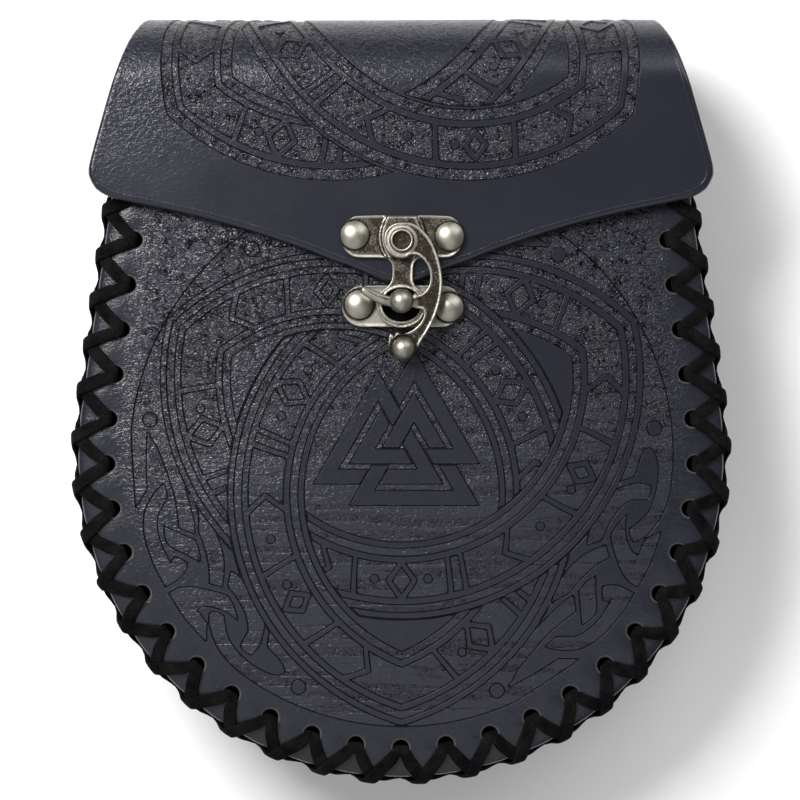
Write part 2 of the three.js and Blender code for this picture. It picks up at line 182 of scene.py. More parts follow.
def flowing_loop(points, spacing):
    """Closed flowing curve through points, resampled to an even spacing."""
    points = np.asarray(points, float)
    before, after, beyond = loop_neighbours(points)
    return even_loop(flowing(before, points, after, beyond, 24), spacing)


def even_loop(points, spacing):
    """The closed loop resampled at an even spacing along its length."""
    closed = np.vstack([points, points[:1]])
    step = np.hypot(*np.diff(closed, axis=0).T)
    along = np.concatenate([[0], np.cumsum(step)])
    count = max(8, int(round(along[-1] / spacing)))
    at = np.arange(count) / count * along[-1]
    return np.stack([np.interp(at, along, closed[:, 0]), np.interp(at, along, closed[:, 1])], 1)


def mirrored(half):
    """A loop from its right half, listed from the bottom middle to the top middle."""
    half = np.asarray(half, float)
    left = half[::-1] * [-1, 1]
    keep = np.abs(left[:, 0]) > 0.01
    return np.vstack([half, left[keep]])


def segment_distance(points, start, end):
    """Distance from points to a straight segment: to the nearest place along it, from 0 to 1."""
    start, end = np.asarray(start, float), np.asarray(end, float)
    edge = end - start
    rel = points - start
    part = np.clip(rel @ edge / max(edge @ edge, 1e-12), 0, 1)
    return np.hypot(*(rel - part[:, None] * edge).T)


def from_centre(points, centre):
    """Distance from points to a centre."""
    return np.hypot(*(points - centre).T)


def around(centre, radius, degrees):
    """Point at a radius from a centre, turned by degrees from X."""
    angle = np.radians(degrees)
    return centre + radius * np.array([np.cos(angle), np.sin(angle)])


def loop_distance(points, loop):
    """Distance from points to a closed loop, positive inside: nearest edge, side by crossing count."""
    near = np.full(len(points), 1e9)
    inside = np.zeros(len(points), bool)
    for start, end in zip(loop, np.roll(loop, -1, 0)):
        near = np.minimum(near, segment_distance(points, start, end))
        if start[1] != end[1]:
            crosses = (start[1] > points[:, 1]) != (end[1] > points[:, 1])
            x = start[0] + (points[:, 1] - start[1]) * (end[0] - start[0]) / (end[1] - start[1])
            inside ^= crosses & (points[:, 0] < x)
    return np.where(inside, near, -near)


# Embossed ornament ---------------------------------------------------------------------

def mark_segments():
    """Plain geometric marks in the bands, as strokes (place along the band, across it)."""
    half = 4.9
    strokes = []

    def bar(at, lean=0.6):
        strokes.append(((at - lean, -half), (at + lean, half)))

    def lozenge(at, wide, tall):
        corners = [(at - wide, 0), (at, tall), (at + wide, 0), (at, -tall)]
        strokes.extend(zip(corners, corners[1:] + corners[:1]))

    def chevron(at, reach):
        strokes.append(((at, -half), (at + reach, 0)))
        strokes.append(((at + reach, 0), (at, half)))

    for at, lean in ((-77, 0.6), (-55, -0.8), (-51, -0.8), (-12, 0.9), (12, -0.6), (15.6, -0.6), (45, 1.0),
                     (65, -0.9)):
        bar(at, lean)
    for at, wide, tall in ((-66, 3.4, 4.6), (0, 3.2, 4.6), (55, 2.6, 3.4)):
        lozenge(at, wide, tall)
    for at, reach in ((-27, 4), (-22.5, 4), (31, -4), (76, 4)):
        chevron(at, reach)
    return strokes


MARKS = mark_segments()
MARK_DOTS = [(-71.8, 0), (-6.8, 0), (6.6, 0), (38, 0), (50, 0), (-44, 0)]
MARKED_LENGTH = 84
MARKED_HALF = 6


def arc_lines(points, centre, facing, rim):
    """Raised lines of one circular band, how far inside it a point is, and the point's radius.

    Rims stand along both edges, ridges within RIDGE_HALF of two circles, and the marks within
    MARK_HALF of their strokes, which are laid out on the band rolled flat: turn times radius along it.
    """
    rel = points - centre
    radius = np.hypot(*rel.T)
    turn = np.arctan2(rel[:, 1], rel[:, 0]) - facing
    turn = (turn + np.pi) % (2 * np.pi) - np.pi
    local = np.stack([turn * FIELD_MIDDLE, radius - FIELD_MIDDLE], 1)
    inside = np.minimum(radius - BAND_INNER, BAND_OUTER - radius)
    ridges = np.maximum(RIDGE_HALF - np.abs(radius - RIDGE_INNER), RIDGE_HALF - np.abs(radius - RIDGE_OUTER))
    rims = np.minimum(rim - (radius - BAND_INNER), radius - BAND_INNER)
    rims = np.maximum(rims, np.minimum(rim - (BAND_OUTER - radius), BAND_OUTER - radius))
    lines = np.maximum(ridges, rims)
    near = (np.abs(local[:, 1]) < MARKED_HALF) & (np.abs(local[:, 0]) < MARKED_LENGTH)
    marks = np.full(len(points), -FAR)
    found = np.full(near.sum(), -FAR)
    for start, end in MARKS:
        found = np.maximum(found, MARK_HALF - segment_distance(local[near], start, end))
    for dot in MARK_DOTS:
        found = np.maximum(found, MARK_DOT_RADIUS - from_centre(local[near], dot))
    marks[near] = np.minimum(found, RIDGE_OUTER - RIDGE_INNER - np.abs(local[near, 1]))
    return np.maximum(lines, marks), inside, radius


def knot_of_bands(points, centre, turn, rim):
    """Three interlaced circular bands: raised lines, and how far inside any band a point is.

    Each band's circle is moved off the centre by ARC_OFFSET, a third of a turn on from the last. In
    each third of the medallion one band runs whole over the next, which stops CROSSING_GAP before it.
    """
    rel = points - centre
    polar = np.degrees(np.arctan2(rel[:, 1], rel[:, 0]) - turn)
    sector = ((polar - 30) % 360) // 120
    arcs = []
    for k in range(3):
        facing = np.radians(90 + 120 * k) + turn
        middle = centre + ARC_OFFSET * np.array([np.cos(facing), np.sin(facing)])
        arcs.append(arc_lines(points, middle, facing + np.pi, rim))
    raised = np.full(len(points), -FAR)
    inside = np.full(len(points), -FAR)
    for part, (over, under) in enumerate([(1, 2), (2, 0), (0, 1)]):
        here = sector == part
        top, top_in, _ = arcs[over]
        low, low_in, _ = arcs[under]
        raised[here] = np.maximum(top, np.minimum(low, -top_in - CROSSING_GAP))[here]
        inside[here] = np.maximum(top_in, low_in)[here]
    for a, b, c in [(0, 2, 1), (0, 1, 2), (1, 2, 0)]:
        corner = np.minimum(arcs[c][2] - BAND_OUTER - CROSSING_GAP, BAND_INNER + BAND_TUCK - arcs[a][2])
        raised = np.maximum(raised, np.minimum(corner, BAND_INNER + BAND_TUCK - arcs[b][2]))
    return raised, inside


TRIANGLE_SIDE = 32.2
TRIANGLE_STROKE = 3.5
TRIANGLE_OFFSET = 6.0
TRIANGLES_AT = (0.07, 2.05)


def three_triangles(points, centre):
    """Three interlocked triangles of even stroke, each passing over the one after it.

    A triangle is what lies inside three straight sides, and its stroke is what lies within
    TRIANGLE_STROKE of them. Each is cut back CROSSING_GAP from the stroke that runs over it.
    """
    apothem = TRIANGLE_SIDE / (2 * np.sqrt(3))
    rings = []
    for turn in (179.0, 59.0, 300.0):
        rel = points - around(centre, TRIANGLE_OFFSET, turn)
        reach = np.full(len(points), 1e9)
        for normal in np.radians([-90.0, 30.0, 150.0]):
            reach = np.minimum(reach, apothem - rel[:, 0] * np.cos(normal) - rel[:, 1] * np.sin(normal))
        rings.append(np.minimum(reach, TRIANGLE_STROKE - reach))
    raised = np.full(len(points), -FAR)
    for k in range(3):
        raised = np.maximum(raised, np.minimum(rings[k], -rings[(k - 1) % 3] - CROSSING_GAP))
    return raised


# Hollows of the margin knot: degrees round the medallion and distance from its centre.
# A point given twice is a sharp corner.
KNOT_HOLLOWS = [
    [(372, 70), (356, 67.9), (350, 67.6), (346, 66.6), (343, 65.2), (340.8, 63.8), (339.3, 62), (340.2, 60.6),
     (342, 59.6), (342, 59.6), (344.5, 61.5), (347, 63), (350, 63.8), (354, 64.2), (357.5, 64), (360.3, 63.2),
     (361.6, 61.8), (360.5, 60.4), (358, 59.3), (355.2, 58.6), (354.2, 57.4), (352.2, 53.4), (352.2, 53.4),
     (362, 50), (375, 50)],
    [(353.2, 62.8), (353.2, 62.8), (353.4, 59.5), (352.4, 56.6), (351, 54.2), (349, 53), (345, 51.5),
     (340, 50.5), (335.8, 50.7), (334, 51.5), (334, 51.5), (336.2, 53.8), (337.3, 54.5), (340, 54.5),
     (343.5, 55.1), (346.5, 56.4), (348.6, 58.3), (349.2, 60.5), (349.6, 62.3), (351, 63)],
    [(344, 67.8), (344, 67.8), (337, 68), (330.6, 67.8), (330.6, 67.8), (330.7, 65), (332, 62), (334, 59.6),
     (336.6, 57.3), (338.6, 55.9), (340.4, 55.9), (343.2, 56.8), (345.8, 58.3), (345.8, 58.3), (342, 58.9),
     (339.2, 60.5), (337.4, 62.6), (337.3, 64), (337.3, 64), (340.6, 64.2), (342, 65.4)],
    [(336.5, 55.6), (336.5, 55.6), (333.8, 58), (333.8, 58), (331.5, 56.5), (328, 55.1), (324, 54.4),
     (320.3, 54.2), (317.5, 53.2), (314.6, 52.9), (314.6, 52.9), (318, 51), (323, 50.2), (328, 50.6),
     (332.4, 52.3)],
    [(328.4, 57), (328.4, 57), (325, 59.3), (321.4, 62.4), (318.8, 62.7), (316.4, 62), (316.4, 62),
     (319, 59), (322.4, 55.6), (322.4, 55.6), (325.4, 55.8)],
    [(329.4, 67.8), (329.4, 67.8), (324, 67.9), (319, 67.7), (315, 67), (312, 65.6), (309.4, 63.4),
     (307.4, 61), (306.6, 59.7), (306.6, 59.7), (310, 59.4), (312, 60.8), (313.8, 62.5), (316.6, 63.6),
     (320.5, 63.9), (324.7, 63.6), (324.7, 63.6), (324.2, 61.8), (326.8, 59.7), (326.8, 59.7),
     (328.3, 61.4), (329.2, 64)],
    [(321.2, 55.3), (321.2, 55.3), (318.2, 58.6), (318.2, 58.6), (314.5, 58), (310, 57.8), (305.5, 58.6),
     (301, 60.0), (298, 61.4), (295, 63.4), (290, 64.0), (284, 60), (286, 53), (298, 52), (306, 54.5),
     (313, 54.2), (318, 54.3)],
    [(311.6, 68), (311.6, 68), (309.6, 65.9), (307.6, 64.1), (307.6, 64.1), (302, 63.8), (296, 63.8),
     (290, 64.4), (283, 65.6), (274, 67), (274, 70), (290, 68.6)],
]


def cornered_curve(points, pieces=7):
    """Closed flowing curve through points, in which a point given twice is a sharp corner."""
    points = np.asarray(points, float)
    before, after, beyond = loop_neighbours(points)
    corner = np.all(points == before, axis=1)
    next_corner = np.all(after == beyond, axis=1)
    before = np.where(corner[:, None], points, before)
    beyond = np.where(next_corner[:, None], after, beyond)
    curve = flowing(before, points, after, beyond, pieces)
    return curve[np.hypot(*(curve - np.roll(curve, 1, 0)).T) > 0.02]


def margin_knot(points, centre, turn):
    """Raised knot in the margin outside the bands: all that its hollows leave standing.

    Worked out only near the knot, which spans degrees 295 to 362 round the centre, turned on by turn.
    """
    rel = points - centre
    radius = np.hypot(*rel.T)
    polar = (np.degrees(np.arctan2(rel[:, 1], rel[:, 0])) - turn) % 360
    polar = np.where(polar < 180, polar + 360, polar)
    close = (radius > 46) & (radius < 70) & (polar > 276) & (polar < 366)
    near = points[close]
    raised = np.minimum(polar[close] - 295, 362 - polar[close])
    for hollow in KNOT_HOLLOWS:
        angle, reach = np.radians(np.array(hollow) + [turn, 0]).T[0], np.array(hollow)[:, 1]
        spots = centre + np.stack([reach * np.cos(angle), reach * np.sin(angle)], 1)
        raised = np.minimum(raised, -loop_distance(near, cornered_curve(spots)))
    everywhere = np.full(len(points), -FAR)
    everywhere[close] = raised
    return everywhere


def front_raised(points):
    """Raised surface of the front panel: the bands with their marks, a knot in each of the three
    margins, all that lies outside the medallion, the three triangles and two dots beside each knot."""
    raised, inside = knot_of_bands(points, MEDALLION, 0.0, BAND_RIM)
    for turn in (0, 120, 240):
        knot = margin_knot(points, MEDALLION, turn)
        raised = np.maximum(raised, np.minimum(knot, -inside - 0.5))
    raised = np.maximum(raised, from_centre(points, MEDALLION) - MEDALLION_RADIUS)
    raised = np.maximum(raised, three_triangles(points, MEDALLION + TRIANGLES_AT))
    for tip in (30, 150, 270):
        for turn in (-24.0, 22.0):
            dot = around(MEDALLION, RIM_DOT_CIRCLE, tip + turn)
            raised = np.maximum(raised, RIM_DOT_RADIUS - from_centre(points, dot))
    return raised


def flap_raised(points):
    """Raised surface of the flap: the bands' lines and all that lies outside the bands."""
    raised, inside = knot_of_bands(points, FLAP_MEDALLION, np.pi, FLAP_BAND_RIM)
    return np.maximum(raised, FLAP_BAND_RIM - inside)


# Sheets of leather and metal -----------------------------------------------------------

def hex_rows(low, high, spacing):
    """Even triangular grid over a box, row by row, every second row moved on by half the spacing."""
    rows = np.arange(low[1], high[1] + spacing, spacing * 0.866)
    columns = np.arange(low[0], high[0] + spacing, spacing)
    x, y = np.meshgrid(columns, rows)
    x = x + (np.arange(len(rows)) % 2)[:, None] * spacing / 2
    return np.stack([x, y], -1)


def hex_triangles(count, width):
    """Triangles between the points of such a grid of count rows, each width points long."""
    index = np.arange(count * width).reshape(count, width)
    a, b, c, d = index[:-1, :-1], index[:-1, 1:], index[1:, :-1], index[1:, 1:]
    odd = np.broadcast_to((np.arange(count - 1) % 2 == 1)[:, None], a.shape)
    return np.concatenate([np.stack([a, b, np.where(odd, d, c)], -1).reshape(-1, 3),
                           np.stack([np.where(odd, a, b), d, c], -1).reshape(-1, 3)])


def slope_of(raised, points, step):
    """How fast a distance grows along X and along Y, from its values a step to either side."""
    sides = ([step, 0], [0, step])
    return np.stack([raised(points + side) - raised(points - side) for side in sides], 1) / (2 * step)


def moved_on_to(raised, level, spots):
    """Points moved along the steepest slope to where the distance equals level, in two steps."""
    for _ in range(2):
        slope = slope_of(raised, spots, 0.03)
        steep = np.maximum(np.sum(slope ** 2, axis=1), 0.2)
        move = ((level - raised(spots)) / steep)[:, None] * slope
        spots = spots + move * np.minimum(1, 0.1 / np.maximum(np.hypot(*move.T), 1e-9))[:, None]
    return spots


def traced_edges(raised, low, high):
    """Foot and shoulder lines of every raised edge, as points and the links between them, and the
    points along the middle of the narrow bands, where the distance to the edge stops growing.

    Where a side of a small triangle of an even grid has its ends on different sides of a line,
    the crossing is found; each triangle links its two crossings. Crossings then move on to the line,
    and those in one small cell become one.
    """
    grid = hex_rows(low, high, TRACE_SPACING)
    triangles = hex_triangles(*grid.shape[:2])
    grid = grid.reshape(-1, 2)
    value = raised(grid)
    near = grid[(np.abs(value) > NARROW_BANDS[0]) & (np.abs(value) < NARROW_BANDS[1])]
    middle = near[np.hypot(*slope_of(raised, near, 0.25).T) < 0.74]
    points, links, total = [], [], 0
    for level in (-EMBOSS_SLOPE, EMBOSS_SLOPE):
        above = value > level
        sides = above[triangles]
        mixed = triangles[sides.any(axis=1) & ~sides.all(axis=1)]
        pairs = np.sort(mixed[:, [[0, 1], [1, 2], [2, 0]]], axis=-1)
        chosen = pairs[above[pairs[..., 0]] != above[pairs[..., 1]]]
        keys, found = np.unique(chosen[:, 0] * len(grid) + chosen[:, 1], return_inverse=True)
        start, end = keys // len(grid), keys % len(grid)
        part = (level - value[start]) / (value[end] - value[start])
        spots = moved_on_to(raised, level, grid[start] + part[:, None] * (grid[end] - grid[start]))
        cell = np.round(spots / TRACE_CELL).astype(np.int64)
        _, kept, merged = np.unique(cell[:, 0] * 1000003 + cell[:, 1], return_index=True, return_inverse=True)
        link = np.sort(merged[found.reshape(-1, 2)], axis=1)
        link = np.unique(link[link[:, 0] != link[:, 1]], axis=0)
        points.append(spots[kept])
        links.append(link + total)
        total += len(kept)
    return np.vstack(points), np.vstack(links), middle


def flat_mesh(loops, inside, points, links=()):
    """Delaunay triangles over a pattern's rim loops and inner points, kept where inside is positive.

    Links are pairs of inner points that stay joined by an edge. Gives points, faces and the rings of
    points that the loops became.
    """
    rim = np.vstack(loops)
    edges, start = [], 0
    for loop in loops:
        order = np.arange(start, start + len(loop))
        edges.extend(zip(order.tolist(), np.roll(order, -1).tolist()))
        start += len(loop)
    if len(links):
        edges.extend((links + len(rim)).tolist())
    everything = np.vstack([rim, points])
    found = geometry.delaunay_2d_cdt([Vector(p) for p in everything.tolist()], edges, [], 0, 1e-6, True)
    spots = np.array([tuple(p) for p in found[0]])
    faces = np.array(found[2])
    renumbered = np.zeros(len(everything), int)
    for new, olds in enumerate(found[3]):
        renumbered[olds] = new
    faces = faces[inside(spots[faces].mean(axis=1)) > 0]
    a, b, c = (spots[faces[:, k]] for k in range(3))
    area = (b[:, 0] - a[:, 0]) * (c[:, 1] - a[:, 1]) - (b[:, 1] - a[:, 1]) * (c[:, 0] - a[:, 0])
    real = np.abs(area) > 1e-9
    faces = np.where((area[real] < 0)[:, None], faces[real, ::-1], faces[real])
    ends = np.cumsum([len(loop) for loop in loops])[:-1]
    return spots, faces, np.split(renumbered[:len(rim)], ends)


def rounded(distance, radius):
    """Quarter-round edge: 0 inside, down along a circle to minus the radius at the rim."""
    part = np.clip(1 - distance / radius, 0, 1)
    return -radius * (1 - np.sqrt(1 - part ** 2))


def rows_along(loops, inside, depths):
    """Points that follow the loops at each of some depths inside them."""
    rows = []
    for loop in loops:
        along = np.roll(loop, -1, 0) - np.roll(loop, 1, 0)
        inward = np.stack([-along[:, 1], along[:, 0]], 1) / np.hypot(*along.T)[:, None]
        for depth in depths:
            row = loop + inward * depth
            rows.append(row[inside(row) > depth * 0.8])
    return rows


def sheet(name, loops, inside, place, thickness, relief, spacing, raised=None, raised_box=None,
          edge=0.8, masks=None, coarse=4.0, rows_at=()):
    """A sheet with rounded edges. Its outer side carries the relief, its inner side is plain.

    loops: rim first, counter-clockwise, then holes, clockwise. inside: distance inside the pattern.
    place: maps flat points and a height above the outer side into space. The outer side's height is
    relief plus quarter-round edge, the inner side lies a thickness below it, and both share their rims.
    """
    low, high = np.vstack(loops).min(axis=0), np.vstack(loops).max(axis=0)
    rows = rows_along(loops, inside, [part * edge for part in EDGE_ROWS] + list(rows_at))
    clear = max([edge, *rows_at]) + 0.15 * spacing
    grid = hex_rows(low, high, spacing).reshape(-1, 2)
    grid = grid[inside(grid) > clear]
    links = ()
    if raised is not None:
        detail, links, middle = traced_edges(raised, *raised_box)
        good = inside(detail) > clear
        renumbered = np.cumsum(good) - 1
        links = renumbered[links[good[links].all(axis=1)]]
        grid = grid[np.abs(raised(grid)) > EMBOSS_SLOPE + GRID_CLEARANCE]
        rows.insert(0, detail[good])
        rows.append(middle[inside(middle) > clear])
    flat, faces, rings = flat_mesh(loops, inside, np.vstack(rows + [grid]), links)
    outer = place(flat, relief(flat) + rounded(inside(flat), edge))
    plain = hex_rows(low, high, coarse).reshape(-1, 2)
    plain = plain[inside(plain) > coarse * 0.3]
    flat_in, faces_in, rings_in = flat_mesh(loops, inside, plain)
    ease = min(edge, thickness * 0.45)
    inner = place(flat_in, -thickness - rounded(inside(flat_in), ease * 0.8))
    offset = len(outer)
    triangles = [faces, faces_in[:, ::-1] + offset]
    for ring, ring_in in zip(rings, rings_in):
        a, b = ring, np.roll(ring, -1)
        c, d = ring_in + offset, np.roll(ring_in, -1) + offset
        triangles.append(np.stack([a, c, b], 1))
        triangles.append(np.stack([b, c, d], 1))
    values = {}
    for key, mask in (masks or {}).items():
        values[key] = np.concatenate([mask(flat), np.full(len(inner), 1.0 if key == "edge" else 0.0)])
    piece = solid(name, np.vstack([outer, inner]), np.vstack(triangles).tolist(), values)
    if raised is not None:
        piece.data.set_sharp_from_angle(angle=np.radians(34))
    return piece


def solid(name, verts, faces, values=None):
    """Smooth-shaded mesh object from points and faces, with values stored on its points."""
    mesh = bpy.data.meshes.new(name)
    mesh.from_pydata((verts * MM).tolist(), [], faces)
    mesh.validate()
    mesh.shade_smooth()
    for key, numbers in (values or {}).items():
        store(mesh, key, numbers)
    piece = bpy.data.objects.new(name, mesh)
    bpy.context.scene.collection.objects.link(piece)
    return piece


def store(mesh, key, numbers):
    """Stores one number on each point of a mesh, for its material to read."""
    mesh.attributes.new(key, "FLOAT", "POINT").data.foreach_set("value", numbers.astype(np.float32))


def ring_quads(index):
    """Four-sided faces between neighbouring rings of point numbers, shaped (rings, ring size)."""
    a, b = index[:-1], index[1:]
    return np.stack([a, np.roll(a, -1, 1), np.roll(b, -1, 1), b], -1).reshape(-1, 4).tolist()


def ring_fans(index, first, last):
    """Triangles that close the first ring on one point and the last ring on another."""
    size = index.shape[1]
    start = np.stack([np.full(size, first), np.roll(index[0], -1), index[0]], 1)
    end = np.stack([np.full(size, last), index[-1], np.roll(index[-1], -1)], 1)
    return start.tolist() + end.tolist()


def tubes(name, sections_list):
    """One object from closed tubes, each through rings of points shaped (rings, ring size, 3)."""
    verts, faces, start = [], [], 0
    for sections in sections_list:
        count, size, _ = sections.shape
        index = start + np.arange(count * size).reshape(count, size)
        faces += ring_quads(index) + ring_fans(index, start + count * size, start + count * size + 1)
        verts += [sections.reshape(-1, 3), sections[[0, -1]].mean(axis=1)]
        start += count * size + 2
    return solid(name, np.vstack(verts), faces)


def facing_out(piece):
    """Turns all faces of a closed piece outwards."""
    work = bmesh.new()
    work.from_mesh(piece.data)
    bmesh.ops.recalc_face_normals(work, faces=work.faces)
    work.to_mesh(piece.data)
    work.free()


def squared(wave, power):
    """A sine or cosine raised to a power below 1, sign kept: it makes a circle a rounded rectangle."""
    return np.sign(wave) * np.abs(wave) ** power


def turned(name, profile, centre, count=56, field=None):
    """Profile of (radius, height), starting and ending on the axis, turned about an upright axis.

    field, where given, is worked out from the profile and stored on the points.
    """
    profile = np.asarray(profile, float)
    angle = np.arange(count) / count * 2 * np.pi
    inner = profile[1:-1]
    x = centre[0] + inner[:, :1] * np.cos(angle)
    y = centre[1] + inner[:, :1] * np.sin(angle)
    rings = np.stack([x, y, np.repeat(inner[:, 1:], count, axis=1)], -1)
    index = np.arange(rings.shape[0] * count).reshape(-1, count)
    poles = np.array([[*centre, profile[0, 1]], [*centre, profile[-1, 1]]])
    values = None
    if field is not None:
        values = {"field": np.concatenate([np.repeat(field(inner), count), field(profile[[0, -1]])])}
    faces = ring_quads(index) + ring_fans(index, index.size, index.size + 1)
    return solid(name, np.vstack([rings.reshape(-1, 3), poles]), faces, values)


# Materials -----------------------------------------------------------------------------

RAISED_DARK, RAISED_PALE = (0.0108, 0.0114, 0.0182, 1), (0.0170, 0.0178, 0.0265, 1)
HOLLOW_DARK, HOLLOW_PALE = (0.0125, 0.0130, 0.0195, 1), (0.0200, 0.0206, 0.0290, 1)
# Cracks of the grain are painted near black: painted shade in them.
CRACK_SHADE_COLOUR = (0.0016, 0.0016, 0.0024, 1)
# Pressed lines are painted near black as well: painted shade in them.
LINE_SHADE_COLOUR = (0.001, 0.001, 0.0015, 1)
# Pale rim of the lace holes: rubbed bare leather, and a painted glint.
RUBBED_AND_GLINT_COLOUR = (0.12, 0.12, 0.115, 1)
SUEDE_DARK, SUEDE_PALE = (0.0008, 0.0008, 0.0008, 1), (0.0085, 0.0083, 0.008, 1)
# The nickel's dark colour is tarnish in the sunk fields and painted shade at the rivet heads' feet; its black
# is painted shade.
NICKEL, TARNISH_AND_SHADE, SHADE_BLACK = (0.37, 0.352, 0.30, 1), (0.022, 0.018, 0.0135, 1), (0.004, 0.004, 0.004, 1)

# Heights that the leather's bump adds, in millimetres.
SWELLING_HEIGHT = 0.32
BROAD_HEIGHT = 0.16
FINE_HEIGHT = 0.02
CRACK_DEPTH = 0.03
ROW_DEPTH = 0.05
LINE_DEPTH = 0.03

# Swellings in a metre of leather.
PEBBLES_PER_METRE = 900.0
CRACKLE_PER_METRE = 1050.0
ROWS_PER_METRE = 480.0

# How far the pressed lines are painted towards black: painted shade.
LINE_SHADE_STRENGTH = 0.85
LINE_OFFSET = 0.18


def wire(tree, kind, inputs=None, **settings):
    """Adds a node, sets its settings, and fills its inputs with values or links."""
    node = tree.nodes.new(kind)
    for key, value in settings.items():
        setattr(node, key, value)
    for key, value in (inputs or {}).items():
        if isinstance(value, bpy.types.NodeSocket):
            tree.links.new(value, node.inputs[key])
        else:
            node.inputs[key].default_value = value
    return node


def calc(tree, operation, a, b=0.0):
    """One math node and its result."""
    return wire(tree, "ShaderNodeMath", {0: a, 1: b}, operation=operation).outputs[0]


def times(tree, a, b):
    """Product of two values."""
    return calc(tree, "MULTIPLY", a, b)


def plus(tree, a, b):
    """Sum of two values."""
    return calc(tree, "ADD", a, b)


def minus(tree, a, b):
    """First value less the second."""
    return calc(tree, "SUBTRACT", a, b)


def ramp(tree, value, low, high, kind="LINEAR", start=0.0, end=1.0):
    """Value carried from the range low to high on to the range start to end, and held beyond it."""
    inputs = {"Value": value, "From Min": low, "From Max": high, "To Min": start, "To Max": end}
    return wire(tree, "ShaderNodeMapRange", inputs, interpolation_type=kind).outputs[0]


def noise(tree, place, scale, detail, **more):
    """Noise between 0 and 1, with scale swellings in a metre."""
    inputs = {"Vector": place, "Scale": scale, "Detail": detail, **more}
    return wire(tree, "ShaderNodeTexNoise", inputs).outputs["Fac"]


def stretched(tree, place, factors):
    """Coordinates multiplied axis by axis; a small factor draws a pattern out along its axis."""
    return wire(tree, "ShaderNodeVectorMath", {0: place, 1: factors}, operation="MULTIPLY").outputs[0]


def between(tree, factor, first, second):
    """Mix of two values by a factor."""
    return wire(tree, "ShaderNodeMix", {"Factor": factor, "A": first, "B": second}).outputs[0]


def blend_colours(tree, factor, first, second):
    """Mix of two colours by a factor."""
    return wire(tree, "ShaderNodeMix", {"Factor": factor, 6: first, 7: second}, data_type="RGBA").outputs[2]


def stored(tree, name):
    """The number stored on the mesh under a name."""
    return wire(tree, "ShaderNodeAttribute", attribute_name=name).outputs["Fac"]


def bumped(tree, height, strength, distance):
    """Normal bent by a height, whose unit is distance metres."""
    inputs = {"Strength": strength, "Distance": distance, "Height": height}
    return wire(tree, "ShaderNodeBump", inputs).outputs[0]


def new_group(name, vectors, values, results):
    """Empty node group with named inputs and outputs, its input node and a way to set its results."""
    group = bpy.data.node_groups.new(name, "ShaderNodeTree")
    for label in vectors:
        group.interface.new_socket(label, in_out="INPUT", socket_type="NodeSocketVector")
    for label in values:
        group.interface.new_socket(label, in_out="INPUT", socket_type="NodeSocketFloat")
    for label in results:
        group.interface.new_socket(label, in_out="OUTPUT", socket_type="NodeSocketFloat")
    source = group.nodes.new("NodeGroupInput").outputs

    def finish(*sockets):
        wire(group, "NodeGroupOutput", dict(enumerate(sockets)))
        return group

    return group, source, finish


def placed(tree, group, *values):
    """A node group placed in a material with its own values, and its outputs."""
    node = tree.nodes.new("ShaderNodeGroup")
    node.node_tree = group
    for socket, value in zip(node.inputs, values):
        if isinstance(value, bpy.types.NodeSocket):
            tree.links.new(value, socket)
        else:
            socket.default_value = value
    return node.outputs


def grain_group():
    """Crinkled leather grain: small swellings of a noise, folded at its middle value into creases.

    The fold is twice the distance of the noise from a half, held at 0.35. Where it is smallest a
    crack opens, more in some patches than in others. Takes how strong the swellings and the cracks
    are. Puts out a height in millimetres, a crack mask, a shade that differs from place to place,
    and a slow variation.
    """
    group, (place, cells, facets, cracks, *_), finish = new_group(
        "grain", ["Vector"], ["Cells per metre", "Facets", "Cracks"],
        ["Height", "Crack", "Shade", "Variation"])
    swell = noise(group, stretched(group, place, (0.85, 1.2, 1.0)), cells, 2.0, Roughness=0.5, Distortion=0.6)
    fold = times(group, calc(group, "ABSOLUTE", minus(group, swell, 0.5)), 2.0)
    fold = calc(group, "MINIMUM", fold, 0.35)
    broad = noise(group, place, times(group, cells, 0.42), 1.0)
    crack = ramp(group, fold, 0.15, 0.055, "SMOOTHSTEP")
    patches = ramp(group, noise(group, place, 420.0, 2.0), 0.4, 0.6, start=0.35)
    crack = times(group, times(group, crack, patches), cracks)
    fine = noise(group, place, 5200.0, 2.0)
    slow = noise(group, place, 60.0, 3.0)
    height = plus(group, times(group, fold, SWELLING_HEIGHT), times(group, fine, FINE_HEIGHT))
    height = plus(group, height, times(group, broad, BROAD_HEIGHT))
    height = minus(group, times(group, height, facets), times(group, crack, CRACK_DEPTH))
    return finish(height, crack, broad, slow)


def tooling_group():
    """Tooled edge, from the distance to the edge in millimetres.

    Puts out a mask of the hollow, a mask of the thin line pressed LINE_OFFSET outside the edge, and
    how far an eased slope across the edge stands above a straight one.
    """
    group, (distance, *_), finish = new_group("tooling", [], ["Distance"], ["Hollow", "Line", "Easing"])
    off = calc(group, "ABSOLUTE", plus(group, distance, LINE_OFFSET))
    hollow = ramp(group, distance, 0.05, -0.15, "SMOOTHSTEP")
    line = ramp(group, off, 0.15, 0.05, "SMOOTHSTEP")
    eased = ramp(group, distance, -EMBOSS_SLOPE, EMBOSS_SLOPE, "SMOOTHSTEP")
    straight = ramp(group, distance, -EMBOSS_SLOPE, EMBOSS_SLOPE)
    return finish(hollow, line, minus(group, eased, straight))


def new_material(name):
    """Empty material: its tree, its Principled shader's inputs and the object's coordinates."""
    material = bpy.data.materials.new(name)
    material.use_nodes = True
    tree = material.node_tree
    place = tree.nodes.new("ShaderNodeTexCoord").outputs["Object"]
    return material, tree, tree.nodes["Principled BSDF"].inputs, place


